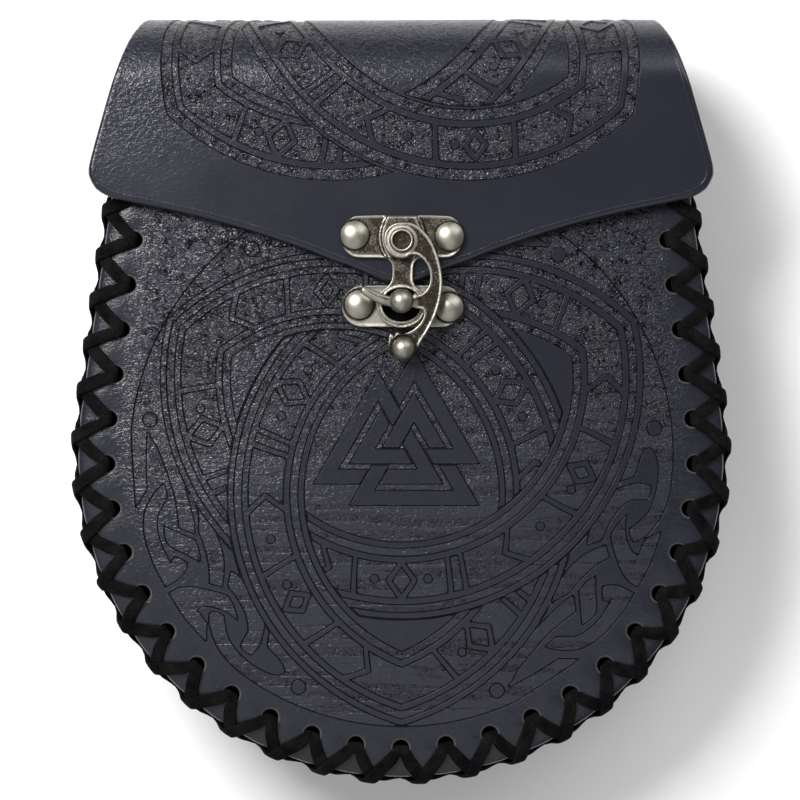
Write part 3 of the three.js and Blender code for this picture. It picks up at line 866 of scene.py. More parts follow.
def leather_material():
    """Blue-black leather: pebble grain where raised, crackle in the hollows, pressed edge lines.

    Down the front the crackle thins out into level rows, which are painted darker as shade. Cracks and
    lines are painted near black and made metallic, which takes their sheen away, since the metal is
    black: painted shade in them. Where the grain is strong the raised leather is paler: partly grain
    tone, partly painted light where the light falls.
    """
    material, tree, shader, place = new_material("embossed_leather")
    hollow, line, easing = placed(tree, tooling_group(), stored(tree, "edge"))
    grain_and_light_amount = stored(tree, "grain")
    up = wire(tree, "ShaderNodeSeparateXYZ", {0: place}).outputs["Y"]
    lower = ramp(tree, up, 0.010, -0.024)
    rows = noise(tree, stretched(tree, place, (0.06, 1.0, 0.3)), ROWS_PER_METRE, 2.0)
    rows = times(tree, lower, ramp(tree, rows, 0.49, 0.56, "SMOOTHSTEP"))
    cracks = minus(tree, 1.0, minus(tree, lower, times(tree, rows, 0.7)))
    facets = minus(tree, 1.0, times(tree, lower, 0.65))
    grain = grain_group()
    pebble = placed(tree, grain, place, PEBBLES_PER_METRE, grain_and_light_amount, grain_and_light_amount)
    crackle = placed(tree, grain, place, CRACKLE_PER_METRE, facets, cracks)
    height = between(tree, hollow, pebble["Height"], crackle["Height"])
    height = minus(tree, height, times(tree, times(tree, rows, hollow), ROW_DEPTH))
    height = minus(tree, height, times(tree, line, LINE_DEPTH))
    height = plus(tree, height, times(tree, easing, EMBOSS_DEPTH * 1.4))
    crack = between(tree, hollow, pebble["Crack"], crackle["Crack"])
    # Raised leather is paler where the stored grain is strong: partly grain tone, partly painted light where
    # the light falls.
    raised_colour = blend_colours(tree, times(tree, pebble["Shade"], grain_and_light_amount), RAISED_DARK, RAISED_PALE)
    # Painted shade: the sunk rows are painted darker.
    shade = minus(tree, crackle["Shade"], times(tree, rows, 0.6))
    colour = blend_colours(tree, hollow, raised_colour, blend_colours(tree, shade, HOLLOW_DARK, HOLLOW_PALE))
    # Painted shade: the cracks are painted near black.
    colour = blend_colours(tree, crack, colour, CRACK_SHADE_COLOUR)
    # Painted shade: the pressed line is painted near black.
    pressed = times(tree, line, LINE_SHADE_STRENGTH)
    colour = blend_colours(tree, pressed, colour, LINE_SHADE_COLOUR)
    # Pale hole rims: rubbed leather, and a painted glint.
    colour = blend_colours(tree, stored(tree, "worn_and_glint"), colour, RUBBED_AND_GLINT_COLOUR)
    roughness = plus(tree, times(tree, pebble["Variation"], 0.14), 0.15)
    roughness = minus(tree, roughness, times(tree, stored(tree, "polish"), 0.08))
    roughness = plus(tree, roughness, times(tree, calc(tree, "MAXIMUM", line, crack), 0.3))
    tree.links.new(colour, shader["Base Color"])
    tree.links.new(roughness, shader["Roughness"])
    # Cracks and pressed lines are made black metal, so they show no sheen: painted shade.
    tree.links.new(calc(tree, "MAXIMUM", pressed, times(tree, crack, 0.95)), shader["Metallic"])
    tree.links.new(bumped(tree, height, 1.0, MM), shader["Normal"])
    shader["Specular IOR Level"].default_value = 0.38
    return material


def suede_material():
    """Matt black suede with a short nap: paler where a fine and a broad noise are both high."""
    material, tree, shader, place = new_material("suede_lace")
    nap = noise(tree, place, 1500.0, 5.0, Roughness=0.75)
    tone = ramp(tree, times(tree, nap, noise(tree, place, 260.0, 2.0)), 0.15, 0.42)
    tree.links.new(blend_colours(tree, tone, SUEDE_DARK, SUEDE_PALE), shader["Base Color"])
    tree.links.new(bumped(tree, nap, 0.9, 0.0006), shader["Normal"])
    shader["Roughness"].default_value = 0.88
    shader["Specular IOR Level"].default_value = 0.07
    return material


def metal_material():
    """Aged nickel: pale and warm on the raised parts, dark brown tarnish in the sunk fields.

    The stored field says how dark a place is: 0 to 1 darkens it, less in specks, and 1 to 2 blackens it.
    It holds tarnish in the sunk fields, painted shade at the feet of the rivet heads and round the
    hook's ball, and black painted shade in the lower plate's well round the post. It is also higher
    along the middle of the hook's finger.
    """
    material, tree, shader, place = new_material("aged_nickel")
    field = stored(tree, "field")
    pits = noise(tree, place, 2600.0, 4.0, Roughness=0.7)
    clouds = noise(tree, place, 420.0, 3.0)
    speckle = ramp(tree, pits, 0.5, 0.7)
    dark = times(tree, field, minus(tree, 1.15, times(tree, speckle, 0.7)))
    stain_and_shade = plus(tree, dark, times(tree, ramp(tree, clouds, 0.45, 0.8), 0.35))
    stain_and_shade = calc(tree, "MINIMUM", stain_and_shade, 1.0)
    # Tarnish in the sunk fields, and painted shade at the feet of the rivet heads and round the ball.
    colour = blend_colours(tree, stain_and_shade, NICKEL, TARNISH_AND_SHADE)
    # Black: painted shade in the well round the post and, in part, round the hook's ball.
    colour = blend_colours(tree, ramp(tree, field, 1.0, 2.0), colour, SHADE_BLACK)
    roughness = plus(tree, 0.38, times(tree, stain_and_shade, 0.17))
    height = times(tree, pits, plus(tree, times(tree, field, 0.9), 0.1))
    tree.links.new(colour, shader["Base Color"])
    tree.links.new(roughness, shader["Roughness"])
    tree.links.new(bumped(tree, height, 0.6, 0.00014), shader["Normal"])
    shader["Metallic"].default_value = 1.0
    return material


LEATHER_LOOK = leather_material()
SUEDE_LOOK = suede_material()
METAL_LOOK = metal_material()


def finish_piece(piece, look, slot_name, body, *nodes):
    """Gives a piece its material and its body, and hides the CAD nodes it stands for; slot_name is not used.
    """
    piece.data.materials.clear()
    piece.data.materials.append(look)
    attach(piece, body)
    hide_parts(*nodes)


# Leather pieces ------------------------------------------------------------------------

STATIONS = np.arange(-HOLES_EACH_SIDE, HOLES_EACH_SIDE + 1) * HOLE_PITCH
HOLE_X, HOLE_Y, _, _ = seam(STATIONS)
HOLES = np.stack([HOLE_X, HOLE_Y], 1)


def nearest_hole(points, holes):
    """Distance from each point to the middle of the nearest of the holes."""
    near = np.full(len(points), 1e9)
    for hole in holes:
        near = np.minimum(near, from_centre(points, hole))
    return near


def hole_loops(holes, count=18):
    """Rims of lace holes, clockwise."""
    return [circle(hole, HOLE_RADIUS, count)[::-1] for hole in holes]


def crown(points):
    """Gentle swell of the front panel: a quarter of a sine wave from 4 to 46 inside the seam."""
    part = np.clip((inside_seam(points) - 4) / 42, 0, 1)
    return (FRONT_CROWN - 0.2) * np.sin(part * np.pi / 2)


def edge_drop(outside):
    """The margin bends back over the gusset, by the square of the distance outside the seam."""
    return -EDGE_DROP * np.clip(outside / EDGE_MARGIN, 0, 1.2) ** 2


def lace_dent(hole, depth, wide=3.4):
    """Leather drawn down by the lace: a bell of the distance to the hole's middle."""
    return -depth * np.exp(-(hole / wide) ** 2)


def hole_lip(hole):
    """Low burnished ring round a lace hole: a narrow bell just outside its rim."""
    return 0.13 * np.exp(-((hole - HOLE_RADIUS - 0.34) / 0.2) ** 2)


def worn_and_glint_ring(hole):
    """Mask of the pale rim of a lace hole, 0.12 outside it: rubbed bare leather, and a painted glint."""
    return smooth(0.3, 0.12, np.abs(hole - HOLE_RADIUS - 0.12))


def unevenness(points, size):
    """Slow waves in the leather: two crossed sines, bent by each other."""
    x, y = points[:, 0] / 19.0, points[:, 1] / 23.0
    return size * (np.sin(x + 1.7 * np.sin(y)) + np.sin(1.9 * y - 0.8 * x + 2.0) * 0.6)


def emboss(value):
    """Height of the embossing: a smooth step over EMBOSS_SLOPE to either side of the outline."""
    return -EMBOSS_DEPTH * (1 - smooth(-EMBOSS_SLOPE, EMBOSS_SLOPE, value))


def panel_loop(margin, top, spacing=0.8):
    """Outline of a panel, offset from the seam line and cut straight at the mouth with eased corners."""
    radius = SEAM_RADIUS + margin
    angle = np.linspace(-np.pi / 2, SIDE_LEAN, 90)
    arc = np.stack([radius * np.cos(angle), SEAM_CENTRE_Y + radius * np.sin(angle)], 1)
    end_x = arc[-1, 0] - (top - arc[-1, 1]) * np.tan(SIDE_LEAN)
    corner = np.array([(0.35, -2.5), (-0.1, -1.0), (-1.2, -0.1), (-2.6, 0)]) + [end_x, top]
    side = np.linspace(arc[-1], corner[0], 30)[1:-1]
    return even_loop(mirrored(np.vstack([arc, side, corner, [[0, top]]])), spacing)


def front_panel():
    """Embossed front panel: crown, bent-back margin, relief, dents and waves add up to its height."""
    loops = [panel_loop(EDGE_MARGIN, MOUTH_Y)] + hole_loops(HOLES)

    def inside(points):
        rim = np.minimum(inside_seam(points) + EDGE_MARGIN, MOUTH_Y - points[:, 1])
        return np.minimum(rim, nearest_hole(points, HOLES) - HOLE_RADIUS)

    def place(points, height):
        z = FRONT_FACE + crown(points) + edge_drop(-inside_seam(points)) + height
        return np.column_stack([points, z])

    def relief(points):
        hole = nearest_hole(points, HOLES)
        dent = lace_dent(hole, 0.4) * smooth(9, 3, np.abs(inside_seam(points)))
        return emboss(front_raised(points)) + dent + hole_lip(hole) + unevenness(points, 0.12)

    def grain(points):
        # Grain is strongest towards the upper left and the top, and the raised leather is painted paler with
        # it: painted light.
        medallion = 0.1 + 0.8 * smooth(-8, 48, (points[:, 1] - points[:, 0]) * 0.7)
        margin = 0.15 + 0.85 * smooth(-45, 25, points[:, 1]) * smooth(-1, 7, inside_seam(points))
        return np.where(from_centre(points, MEDALLION) < MEDALLION_RADIUS, medallion, margin)

    masks = {
        "edge": lambda p: np.clip(front_raised(p), -1.5, 1.5),
        "grain": grain,
        "polish": lambda p: smooth(3.4, 2.0, nearest_hole(p, HOLES)),
        # Pale hole rims: wear, and a painted glint.
        "worn_and_glint": lambda p: worn_and_glint_ring(nearest_hole(p, HOLES)),
    }
    reach = MEDALLION_RADIUS + 1
    piece = sheet("front_panel_leather", loops, inside, place, PANEL_THICKNESS, relief, 1.05,
                  front_raised, (MEDALLION - reach, MEDALLION + reach), 0.75, masks)
    finish_piece(piece, LEATHER_LOOK, "leather", "pouch", "front_panel")


# Flat pattern of the back and flap: Y runs up the flap, over the fold and down the back.
BEND_LENGTH = FOLD_RADIUS * np.pi / 2
FOLD_TOP = FOLD_Y + BEND_LENGTH
FOLD_BACK = FOLD_TOP + FOLD_HIGH - FOLD_LOW
BACK_START = FOLD_BACK + BEND_LENGTH

# Right half of the flap's lower edge, its rounded corner, its side and the narrower fold.
FLAP_SIDE = [(0, 28.5), (4, 29.3), (8, 31), (12.5, 32.9), (17.5, 34.6), (25, 37.6), (40, 42.5), (55, 46.4),
             (67, 48.9), (72, 50.1), (75.6, 52), (77.5, 54.8), (77.9, 57.3), (77.3, 60.2), (75.6, 66.5),
             (72.3, FOLD_Y), (70.4, FOLD_Y + 6), (68, 91.5), (66, 97.5), (64, FOLD_TOP),
             (62.3, FOLD_BACK), (61, 130), (61, BACK_START)]


def back_pattern(y):
    """Flat length down the back for a height y on the finished back panel."""
    return BACK_START + FOLD_Y - y


def wrap(points, height):
    """Takes the flat pattern round the fold, with height measured outwards.

    The pattern runs straight up the front, turns a quarter circle, drops straight down, turns another
    quarter circle and runs straight down the back. The flap sags to its sides by a parabola.
    """
    x, v = points[:, 0], points[:, 1]
    front = np.clip(v, None, FOLD_Y)
    first = np.clip((v - FOLD_Y) / FOLD_RADIUS, 0, np.pi / 2)
    flat = np.clip(v - FOLD_TOP, 0, FOLD_BACK - FOLD_TOP)
    second = np.clip((v - FOLD_BACK) / FOLD_RADIUS, 0, np.pi / 2)
    back = np.clip(v - BACK_START, 0, None)
    turn = first + second
    reach = FOLD_RADIUS + height
    on_front = v < FOLD_Y
    y = np.where(on_front, front, FOLD_Y + reach * np.sin(turn) - back)
    middle = np.where(v < FOLD_BACK, FOLD_HIGH - flat, FOLD_LOW)
    z = np.where(on_front, FLAP_TOP + height, middle + reach * np.cos(turn))
    sag = -0.9 * (x / 78) ** 2 * smooth(100, 60, v)
    return np.column_stack([x, y, z + sag])


def back_outline():
    """Outline of the flat pattern: the flap's flowing edge, then the back panel's arc."""
    shoulder = [(62.2, back_pattern(75.5)), (64.8, back_pattern(72.3)), (68.2, back_pattern(69)),
                (70.3, back_pattern(64.5))]
    right = np.array(FLAP_SIDE + shoulder, float)
    before, after = np.vstack([right[:1], right[:-1]]), np.vstack([right[1:], right[-1:]])
    beyond = np.vstack([right[2:], right[-1:], right[-1:]])
    curve = flowing(before, right, after, beyond, 12)[:-12]
    radius = SEAM_RADIUS + EDGE_MARGIN
    angle = np.linspace(SIDE_LEAN, -np.pi / 2, 80)
    arc = np.stack([radius * np.cos(angle), back_pattern(SEAM_CENTRE_Y + radius * np.sin(angle))], 1)
    return mirrored(np.vstack([curve, right[-1:], np.linspace(right[-1], arc[0], 20)[1:-1], arc]))


def back_and_flap():
    """Back panel, top fold and embossed flap in one piece, with a crease line along the flap's edge."""
    outline = back_outline()
    tester = even_loop(outline, 2.0)
    back_holes = np.column_stack([HOLE_X, back_pattern(HOLE_Y)])

    def inside(points):
        return np.minimum(loop_distance(points, tester), nearest_hole(points, back_holes) - HOLE_RADIUS)

    def place(points, height):
        on_back = np.column_stack([points[:, 0], back_pattern(points[:, 1])])
        margin = np.where(points[:, 1] > back_pattern(MOUTH_Y), edge_drop(-inside_seam(on_back)), 0)
        return wrap(points, height + margin)

    def relief(points):
        dent = lace_dent(nearest_hole(points, back_holes), 0.5)
        return emboss(flap_raised(points)) + dent + unevenness(points * [1, 0.8], 0.1)

    def crease(points):
        off = np.abs(loop_distance(points, tester) - 1.65) - 0.02
        return np.where(points[:, 1] < FOLD_TOP, off, 1.5)

    masks = {
        "edge": lambda p: np.clip(np.minimum(flap_raised(p), crease(p)), -1.5, 1.5),
        # Grain grows up towards the fold, and the raised leather is painted paler with it: painted light.
        "grain": lambda p: 0.07 + 0.4 * smooth(64, 100, p[:, 1] - 0.2 * p[:, 0]),
        "polish": lambda p: np.maximum(smooth(4.5, 1.5, nearest_hole(p, back_holes)),
                                       smooth(2.2, 0.6, loop_distance(p, tester)) * (p[:, 1] < FOLD_TOP)),
    }
    reach = BAND_OUTER + ARC_OFFSET * 0.5
    piece = sheet("back_and_flap_leather", [even_loop(outline, 0.8)] + hole_loops(back_holes), inside, place,
                  FLAP_THICKNESS, relief, 1.5, flap_raised, (FLAP_MEDALLION - reach, FLAP_MEDALLION + reach),
                  0.95, masks, rows_at=(1.2, 1.45, 1.65, 1.85, 2.15))
    finish_piece(piece, LEATHER_LOOK, "leather", "pouch", "back_and_flap")


def gusset():
    """Side and bottom strip between its two rows of holes, carried along the seam line and bowed
    outwards by half a sine wave."""
    end = seam_length_at(MOUTH_Y)
    low, high = BACK_FACE + WALL_EDGE_DROP, FRONT_FACE - WALL_EDGE_DROP
    levels = (BACK_FACE + WALL_HOLE_DROP, FRONT_FACE - WALL_HOLE_DROP)
    centres = np.array([(station, level) for station in STATIONS for level in levels])
    corners = np.array([(-end, low), (end, low), (end, high), (-end, high)])

    def inside(points):
        box = np.minimum(end - np.abs(points[:, 0]), np.minimum(points[:, 1] - low, high - points[:, 1]))
        return np.minimum(box, nearest_hole(points, centres) - HOLE_RADIUS)

    def place(points, height):
        x, y, nx, ny = seam(points[:, 0])
        out = WALL_FACE + 0.7 * np.sin(np.pi * (points[:, 1] - low) / (high - low)) + height
        return np.column_stack([x + nx * out, y + ny * out, points[:, 1]])

    def relief(points):
        return lace_dent(nearest_hole(points, centres), 0.4, 3.2) + unevenness(points, 0.08)

    masks = {
        "edge": lambda p: np.full(len(p), 1.5),
        "grain": lambda p: np.full(len(p), 0.3),
        "polish": lambda p: smooth(4.5, 1.5, nearest_hole(p, centres)),
    }
    piece = sheet("gusset_leather", [even_loop(corners, 1.0)] + hole_loops(centres, 16), inside, place,
                  GUSSET_THICKNESS, relief, 1.6, edge=0.6, masks=masks)
    finish_piece(piece, LEATHER_LOOK, "leather", "pouch", "gusset")


# Lace ----------------------------------------------------------------------------------

# One turn of the lace across the seam, as (outwards from the seam line, up from the panel's face).
LACE_TURN = np.array([
    (0.0, -1.0), (0.15, 0.35), (1.1, 0.72), (3.6, 0.42), (6.2, -0.3), (7.75, -1.4), (8.15, -2.9),
    (7.95, -5.0), (7.6, -7.6), (7.0, -9.0), (5.8, -9.45), (4.3, -9.2), (3.1, -8.0), (1.3, -5.0), (0.1, -2.8),
])
LACE_RINGS = 54
CROSSING_REACH = 7.45
ENTRY_REACH = 6.6
CROSSING_LIFT = 0.95
CROSSING_SINK = -0.05
CROSSING_SPREAD = 0.17
CHANGE_OVER = -85
LACE_WIDTH = 3.2
LACE_PINCH = 0.6
LACE_DEPTH = 0.85
LACE_SWELL = 0.45
LACE_CUP = 0.1


def unit(vectors):
    """Each vector divided by its own length."""
    return vectors / np.linalg.norm(vectors, axis=1)[:, None]


def lace_course():
    """One turn of the lace as a closed flowing curve in LACE_RINGS equal steps, and the length at each."""
    before, after, beyond = loop_neighbours(LACE_TURN)
    curve = flowing(before, LACE_TURN, after, beyond, 8)
    step = np.hypot(*np.diff(np.vstack([curve, curve[:1]]), axis=0).T)
    along = np.concatenate([[0], np.cumsum(step)[:-1]])
    at = np.arange(LACE_RINGS) / LACE_RINGS * step.sum()
    course = np.stack([np.interp(at, along, curve[:, 0]), np.interp(at, along, curve[:, 1])], 1)
    return course, at


def lace_ribbon(face, out, direction):
    """Flat lace carried over and over the seam, one pitch further each turn.

    direction is +1 or -1 along the seam. The lace moves on between the hole it leaves and the next one,
    linearly along its own length, with half the way at the crossing. Where the two laces cross at the
    edge, one is lifted over the other by a bell of the way. Sines of the way make it uneven.
    """
    course, at = lace_course()
    emerge = np.argmin(np.abs(at - at[np.argmax(course[:12, 1])] * 0.55))
    corner = np.argmax(course[:, 0] > CROSSING_REACH)
    later = np.arange(LACE_RINGS) > corner
    entry = np.argmin(np.where(later, np.abs(course[:, 0] - ENTRY_REACH), 99))
    crossing_at = 0.42 if direction > 0 else 0.58
    advance = np.interp(at, [at[emerge], at[corner], at[entry]], [0.0, crossing_at, 1.0])
    pinch = 1 - smooth(0.0, 0.22, advance) * smooth(1.0, 0.78, advance)
    turns = np.arange(2 * HOLES_EACH_SIDE)
    e = np.tile(course[:, 0], len(turns))
    z = np.tile(course[:, 1], len(turns))
    moved = (turns[:, None] + advance[None, :]).ravel()
    grip = np.tile(pinch, len(turns))
    length = direction * (moved * HOLE_PITCH - HOLES_EACH_SIDE * HOLE_PITCH)
    jitter = np.sin(moved * 2.1 + direction) * 0.12 + np.sin(moved * 0.73 + 2 * direction) * 0.15
    length = length + direction * 0.5 * grip + jitter * (1 - grip)
    on_top = (direction > 0) == (length < CHANGE_OVER)
    crossing = np.exp(-((np.tile(advance, len(turns)) - crossing_at) / CROSSING_SPREAD) ** 2)
    lift = np.where(on_top, CROSSING_LIFT, CROSSING_SINK) * crossing
    x, y, nx, ny = seam(length)
    outward = np.column_stack([nx, ny, np.zeros(len(nx))])
    up = np.array([0, 0, float(out)])
    centre = np.column_stack([x, y, np.full(len(x), face)]) + outward * e[:, None] + up * z[:, None]
    de = np.roll(e, -1) - np.roll(e, 1)
    dz = np.roll(z, -1) - np.roll(z, 1)
    normal = unit(outward * -dz[:, None] + up * de[:, None])
    centre = centre + normal * lift[:, None]
    travel = unit(np.gradient(centre, axis=0))
    wide = unit(np.cross(travel, normal))
    thick = np.cross(wide, travel)
    width = LACE_WIDTH - LACE_PINCH * grip + 0.16 * np.sin(moved * 3.7 + direction)
    depth = LACE_DEPTH + LACE_SWELL * grip
    angle = np.arange(16) / 16 * 2 * np.pi
    across = squared(np.cos(angle), 0.35)
    deep = squared(np.sin(angle), 0.45)
    cup = -LACE_CUP * across ** 2
    return (centre[:, None, :]
            + wide[:, None, :] * (across[None, :] * width[:, None] / 2)[..., None]
            + thick[:, None, :] * ((deep[None, :] / 2 + cup) * depth[:, None])[..., None])


def laces():
    """The two laces of each seam, threaded in opposite directions."""
    for name, node, face, out in (("front_lace_suede", "front_lace", FRONT_FACE, 1),
                                  ("back_lace_suede", "back_lace", BACK_FACE, -1)):
        rings = [lace_ribbon(face, out, 1), lace_ribbon(face, out, -1)]
        if out < 0:
            rings = [ring[:, ::-1] for ring in rings]
        rings = [ring[:, ::-1] if k else ring for k, ring in enumerate(rings)]
        piece = tubes(name, rings)
        facing_out(piece)
        finish_piece(piece, SUEDE_LOOK, "lace", "pouch", node)


# Clasp ---------------------------------------------------------------------------------

PIVOT = np.array([0.2, 39.3])
POST = np.array([0.1, 24.25])
UPPER_Z = node_box("upper_plate")[0][2]
LOWER_Z = node_box("lower_plate")[0][2]
PLATE = node_box("lower_plate")[1][2] - LOWER_Z
HOOK_Z = node_box("swing_hook")[0][2] + 1.95
HOOK_THICKNESS = 1.5
RIVET_DOME = 1.45
RIVET_HEAD_DEPTH = 1.3
RIVET_SHANK = 1.3
BALL_RADIUS = 3.0
HOOK_TIP = [0.4, -26.75]
PLATE_EYE = [4.8, 4.2]
PLATE_EYE_CENTRE = [0.1, 23.45]
WELL_CENTRE = [0.1, 23.6]
BAR_CENTRE = np.array([0.3, 23.1])
FINGER_RADIUS = 15.4
SLOT_CLEARANCE = 0.25


def metal_sheet(name, loops, thickness, base, relief, spacing, edge, field, node, body="pouch"):
    """Flat cast piece with rounded edges, sunk fields and pierced holes.

    relief and field take points and how far each lies inside the outline.
    """
    testers = [even_loop(loop, 0.8) for loop in loops]

    def inside(points):
        value = loop_distance(points, testers[0])
        for tester in testers[1:]:
            value = np.minimum(value, -loop_distance(points, tester))
        return value

    def place(points, height):
        return np.column_stack([points, base + thickness + height])

    piece = sheet(name, loops, inside, place, thickness, lambda p: relief(p, inside(p)), spacing,
                  edge=edge, masks={"field": lambda p: field(p, inside(p))}, coarse=1.0)
    finish_piece(piece, METAL_LOOK, "metal", body, node)
    return piece


def stadium(centre, half_length, half_height, spacing=0.4):
    """Rounded bar outline: two half circles joined by straight sides."""
    angle = np.linspace(-np.pi / 2, np.pi / 2, 24)
    straight = half_length - half_height
    right = np.stack([straight + half_height * np.cos(angle), half_height * np.sin(angle)], 1)
    return even_loop(np.vstack([right, -right]) + centre, spacing)


def raised_rim(distance, wide, tall):
    """Raised border of a cast piece: full height at its edge, eased away inside its width."""
    return tall * (1 - smooth(wide * 0.6, wide * 1.25, distance))


def band(distance, wide):
    """Bump of height 1 at distance 0, fading over a width as a bell."""
    return np.exp(-(distance / wide) ** 2)


def rivet_centre(name):
    """Middle of a rivet of the frame."""
    low, high = node_box(name)
    return (low + high)[:2] / 2


def tarnish_and_shade_ring(points, names, radius):
    """Dark ring just outside the heads of the named rivets: tarnish, and painted shade at their feet."""
    ring = np.zeros(len(points))
    for name in names:
        away = from_centre(points, rivet_centre(name)) - radius
        ring = np.maximum(ring, smooth(1.0, 0.15, away))
    return ring


def clasp_plates():
    """Upper plate with its boss, neck and eye, and the lower plate."""
    outline = flowing_loop([
        (-15.1, 40.3), (-14.3, 43.2), (-12.2, 45.1), (-9.9, 45.55), (0, 45.7), (10.4, 45.55), (12.8, 45.1),
        (14.9, 43.2), (15.7, 40.3), (14.9, 37.4), (12.8, 35.5), (10.4, 35.1), (6.0, 35.05), (4.2, 34.75),
        (3.25, 33.6), (3.05, 32.0), (3.0, 30.2), (3.15, 28.9), (3.9, 27.75), (5.1, 26.8), (6.0, 25.4),
        (6.3, 23.6), (5.7, 21.0), (3.9, 18.8), (0.1, 17.6), (-3.7, 18.8), (-5.5, 21.0), (-6.1, 23.6),
        (-5.7, 25.5), (-4.7, 26.9), (-3.4, 27.9), (-2.55, 29.0), (-2.2, 30.4), (-2.15, 32.0), (-2.35, 33.6),
        (-3.4, 34.75), (-5.4, 35.05), (-9.9, 35.1), (-12.2, 35.5), (-14.3, 37.4)][::-1], 0.33)
    eye = circle((0, 0), 1.0, 56)[::-1] * PLATE_EYE + PLATE_EYE_CENTRE

    def boss(points):
        across = 5.75 - 1.5 * ((points[:, 1] - 40.3) / 4.9) ** 2 - np.abs(points[:, 0] - 0.2)
        return np.where(points[:, 1] > 34.9, across, -5.0)

    def relief(points, inside):
        step = boss(points)
        raised = 1.0 * smooth(-0.15, 0.2, step) * smooth(0.0, 0.5, inside)
        ridges = (0.22 * band(step - 0.2, 0.25) - 0.25 * band(step - 0.62, 0.16)
                  + 0.12 * band(step - 1.0, 0.22))
        return raised_rim(inside, 0.55, 0.28) + raised + ridges * (inside > 0.4)

    def field(points, inside):
        step = boss(points)
        sunk = smooth(0.45, 0.8, inside)
        light = np.maximum(band(step - 0.2, 0.24), 0.8 * band(step - 1.05, 0.22))
        dark = np.maximum(band(step + 0.25, 0.2), band(step - 0.62, 0.17))
        sunk = np.clip(sunk * 0.8 * (1 - light) + dark * (inside > 0.3), 0, 1.2)
        # Tarnish and painted shade in a ring at the rivet heads' feet.
        return np.maximum(sunk, tarnish_and_shade_ring(points, ("upper_rivet_left", "upper_rivet_right"), 3.6))

    metal_sheet("clasp_upper_plate", [outline, eye], PLATE, UPPER_Z, relief, 0.36, 0.3, field, "upper_plate")

    bar = stadium(BAR_CENTRE, 15.1, 5.2)

    def well(points):
        return 5.0 - np.hypot(*((points - WELL_CENTRE) * [1, 1.1]).T)

    def low_relief(points, inside):
        return raised_rim(inside, 0.5, 0.18) - 0.45 * smooth(-0.2, 0.4, well(points))

    def low_field(points, inside):
        shade = smooth(0.45, 0.75, inside) * 0.22
        # Tarnish and painted shade in a ring at the rivet heads' feet.
        shade = np.maximum(shade, tarnish_and_shade_ring(points, ("lower_rivet_left", "lower_rivet_right"), 3.65))
        # The well round the post is painted black: painted shade.
        return np.maximum(shade, 2.2 * smooth(-0.6, 0.3, well(points)))

    metal_sheet("clasp_lower_plate", [bar], PLATE, LOWER_Z, low_relief, 0.42, 0.3, low_field, "lower_plate")


def swing_hook():
    """Hook with a pierced eye, a rimmed arm, a rounded finger and a ball held in a claw."""
    def edge_points(radii, angles):
        angle = np.radians(np.asarray(angles) - 90.0)
        return list(zip(np.asarray(radii) * np.cos(angle), np.asarray(radii) * np.sin(angle)))

    points = [(0.0, 4.45), (2.3, 4.3), (4.6, 3.0), (7.1, 0.1), (9.0, -4.2), (10.05, -9.4), (9.65, -14.2),
              (8.4, -18.6), (6.5, -22.4), (4.9, -24.9), (4.1, -26.6), (3.5, -28.2), (0.3, -29.2),
              (-2.7, -28.2), (-3.35, -26.4), (-3.3, -24.6), (-2.95, -23.1), (-2.5, -23.1), (-2.2, -23.9),
              (-1.75, -23.7),
              (-1.5, -22.7), (-1.0, -22.7), (-0.3, -23.2), (0.8, -23.0), (2.0, -22.5), (3.4, -21.6),
              (4.9, -19.9), (5.5, -18.2), (5.2, -17.2), (4.5, -16.95)]
    points += edge_points([17.25, 16.9, 16.75, 16.7, 16.65, 16.55, 16.5], [12, 10.5, 8, -4, -16, -28, -36])
    points += edge_points([16.2, 15.35, 14.55], [-39.2, -40.6, -39.2])
    points += edge_points([14.25, 14.15, 14.08, 14.05, 13.9, 13.45], [-28, -16, -4, 8, 11, 13.5])
    points += [(4.1, -13.5), (5.4, -12.9), (6.6, -11.3), (7.0, -9.0), (6.5, -6.6), (5.2, -4.7), (3.6, -3.6),
               (2.2, -3.7), (0.6, -4.45), (-1.9, -4.05), (-3.9, -2.2), (-4.5, 0.4), (-3.6, 2.9), (-1.8, 4.2)]
    outline = flowing_loop((np.array(points) + PIVOT)[::-1], 0.27)
    eye = circle(PIVOT, 1.6, 32)[::-1]

    def on_finger(rel):
        radius = np.hypot(*rel.T)
        return smooth(4.6, 3.6, rel[:, 0]) * (np.abs(radius - FINGER_RADIUS) < 1.7) * (rel[:, 1] < -8)

    def relief(flat, inside):
        rel = flat - PIVOT
        finger = on_finger(rel)
        arm = raised_rim(inside, 0.6, 0.3)
        disc = 0.2 * smooth(4.1, 3.6, np.hypot(*rel.T))
        return np.maximum(arm, disc) * (1 - finger) + 0.35 * finger * np.sqrt(np.clip(inside, 0, 1.3) / 1.3)

    def field(flat, inside):
        rel = flat - PIVOT
        finger = on_finger(rel)
        radius = np.hypot(*rel.T)
        arm = smooth(0.5, 0.8, inside) * smooth(3.7, 4.15, radius)
        # Dark just outside the pivot head: tarnish and painted shade; and a dark line round the raised disc's
        # edge.
        ring = np.maximum(smooth(3.3, 3.0, radius), 0.9 * band(radius - 3.95, 0.13) * (inside > 0.3))
        # Dark round the foot of the ball, partly black: painted shade.
        cup = 1.3 * smooth(3.9, 3.3, np.hypot(*(rel - [0.4, -26.7]).T))
        arm = np.maximum(np.maximum(arm, ring), cup)
        return arm * (1 - finger) + finger * (0.25 + 0.6 * band(radius - 15.0, 0.26)) * (inside > 0.25)

    metal_sheet("clasp_hook", [outline, eye], HOOK_THICKNESS, HOOK_Z, relief, 0.34, 0.4, field, "swing_hook",
                "hook")
    turned_piece("clasp_hook_ball", "swing_hook", ball_profile(BALL_RADIUS, HOOK_Z + 1.1),
                 PIVOT + HOOK_TIP, 48, body="hook")


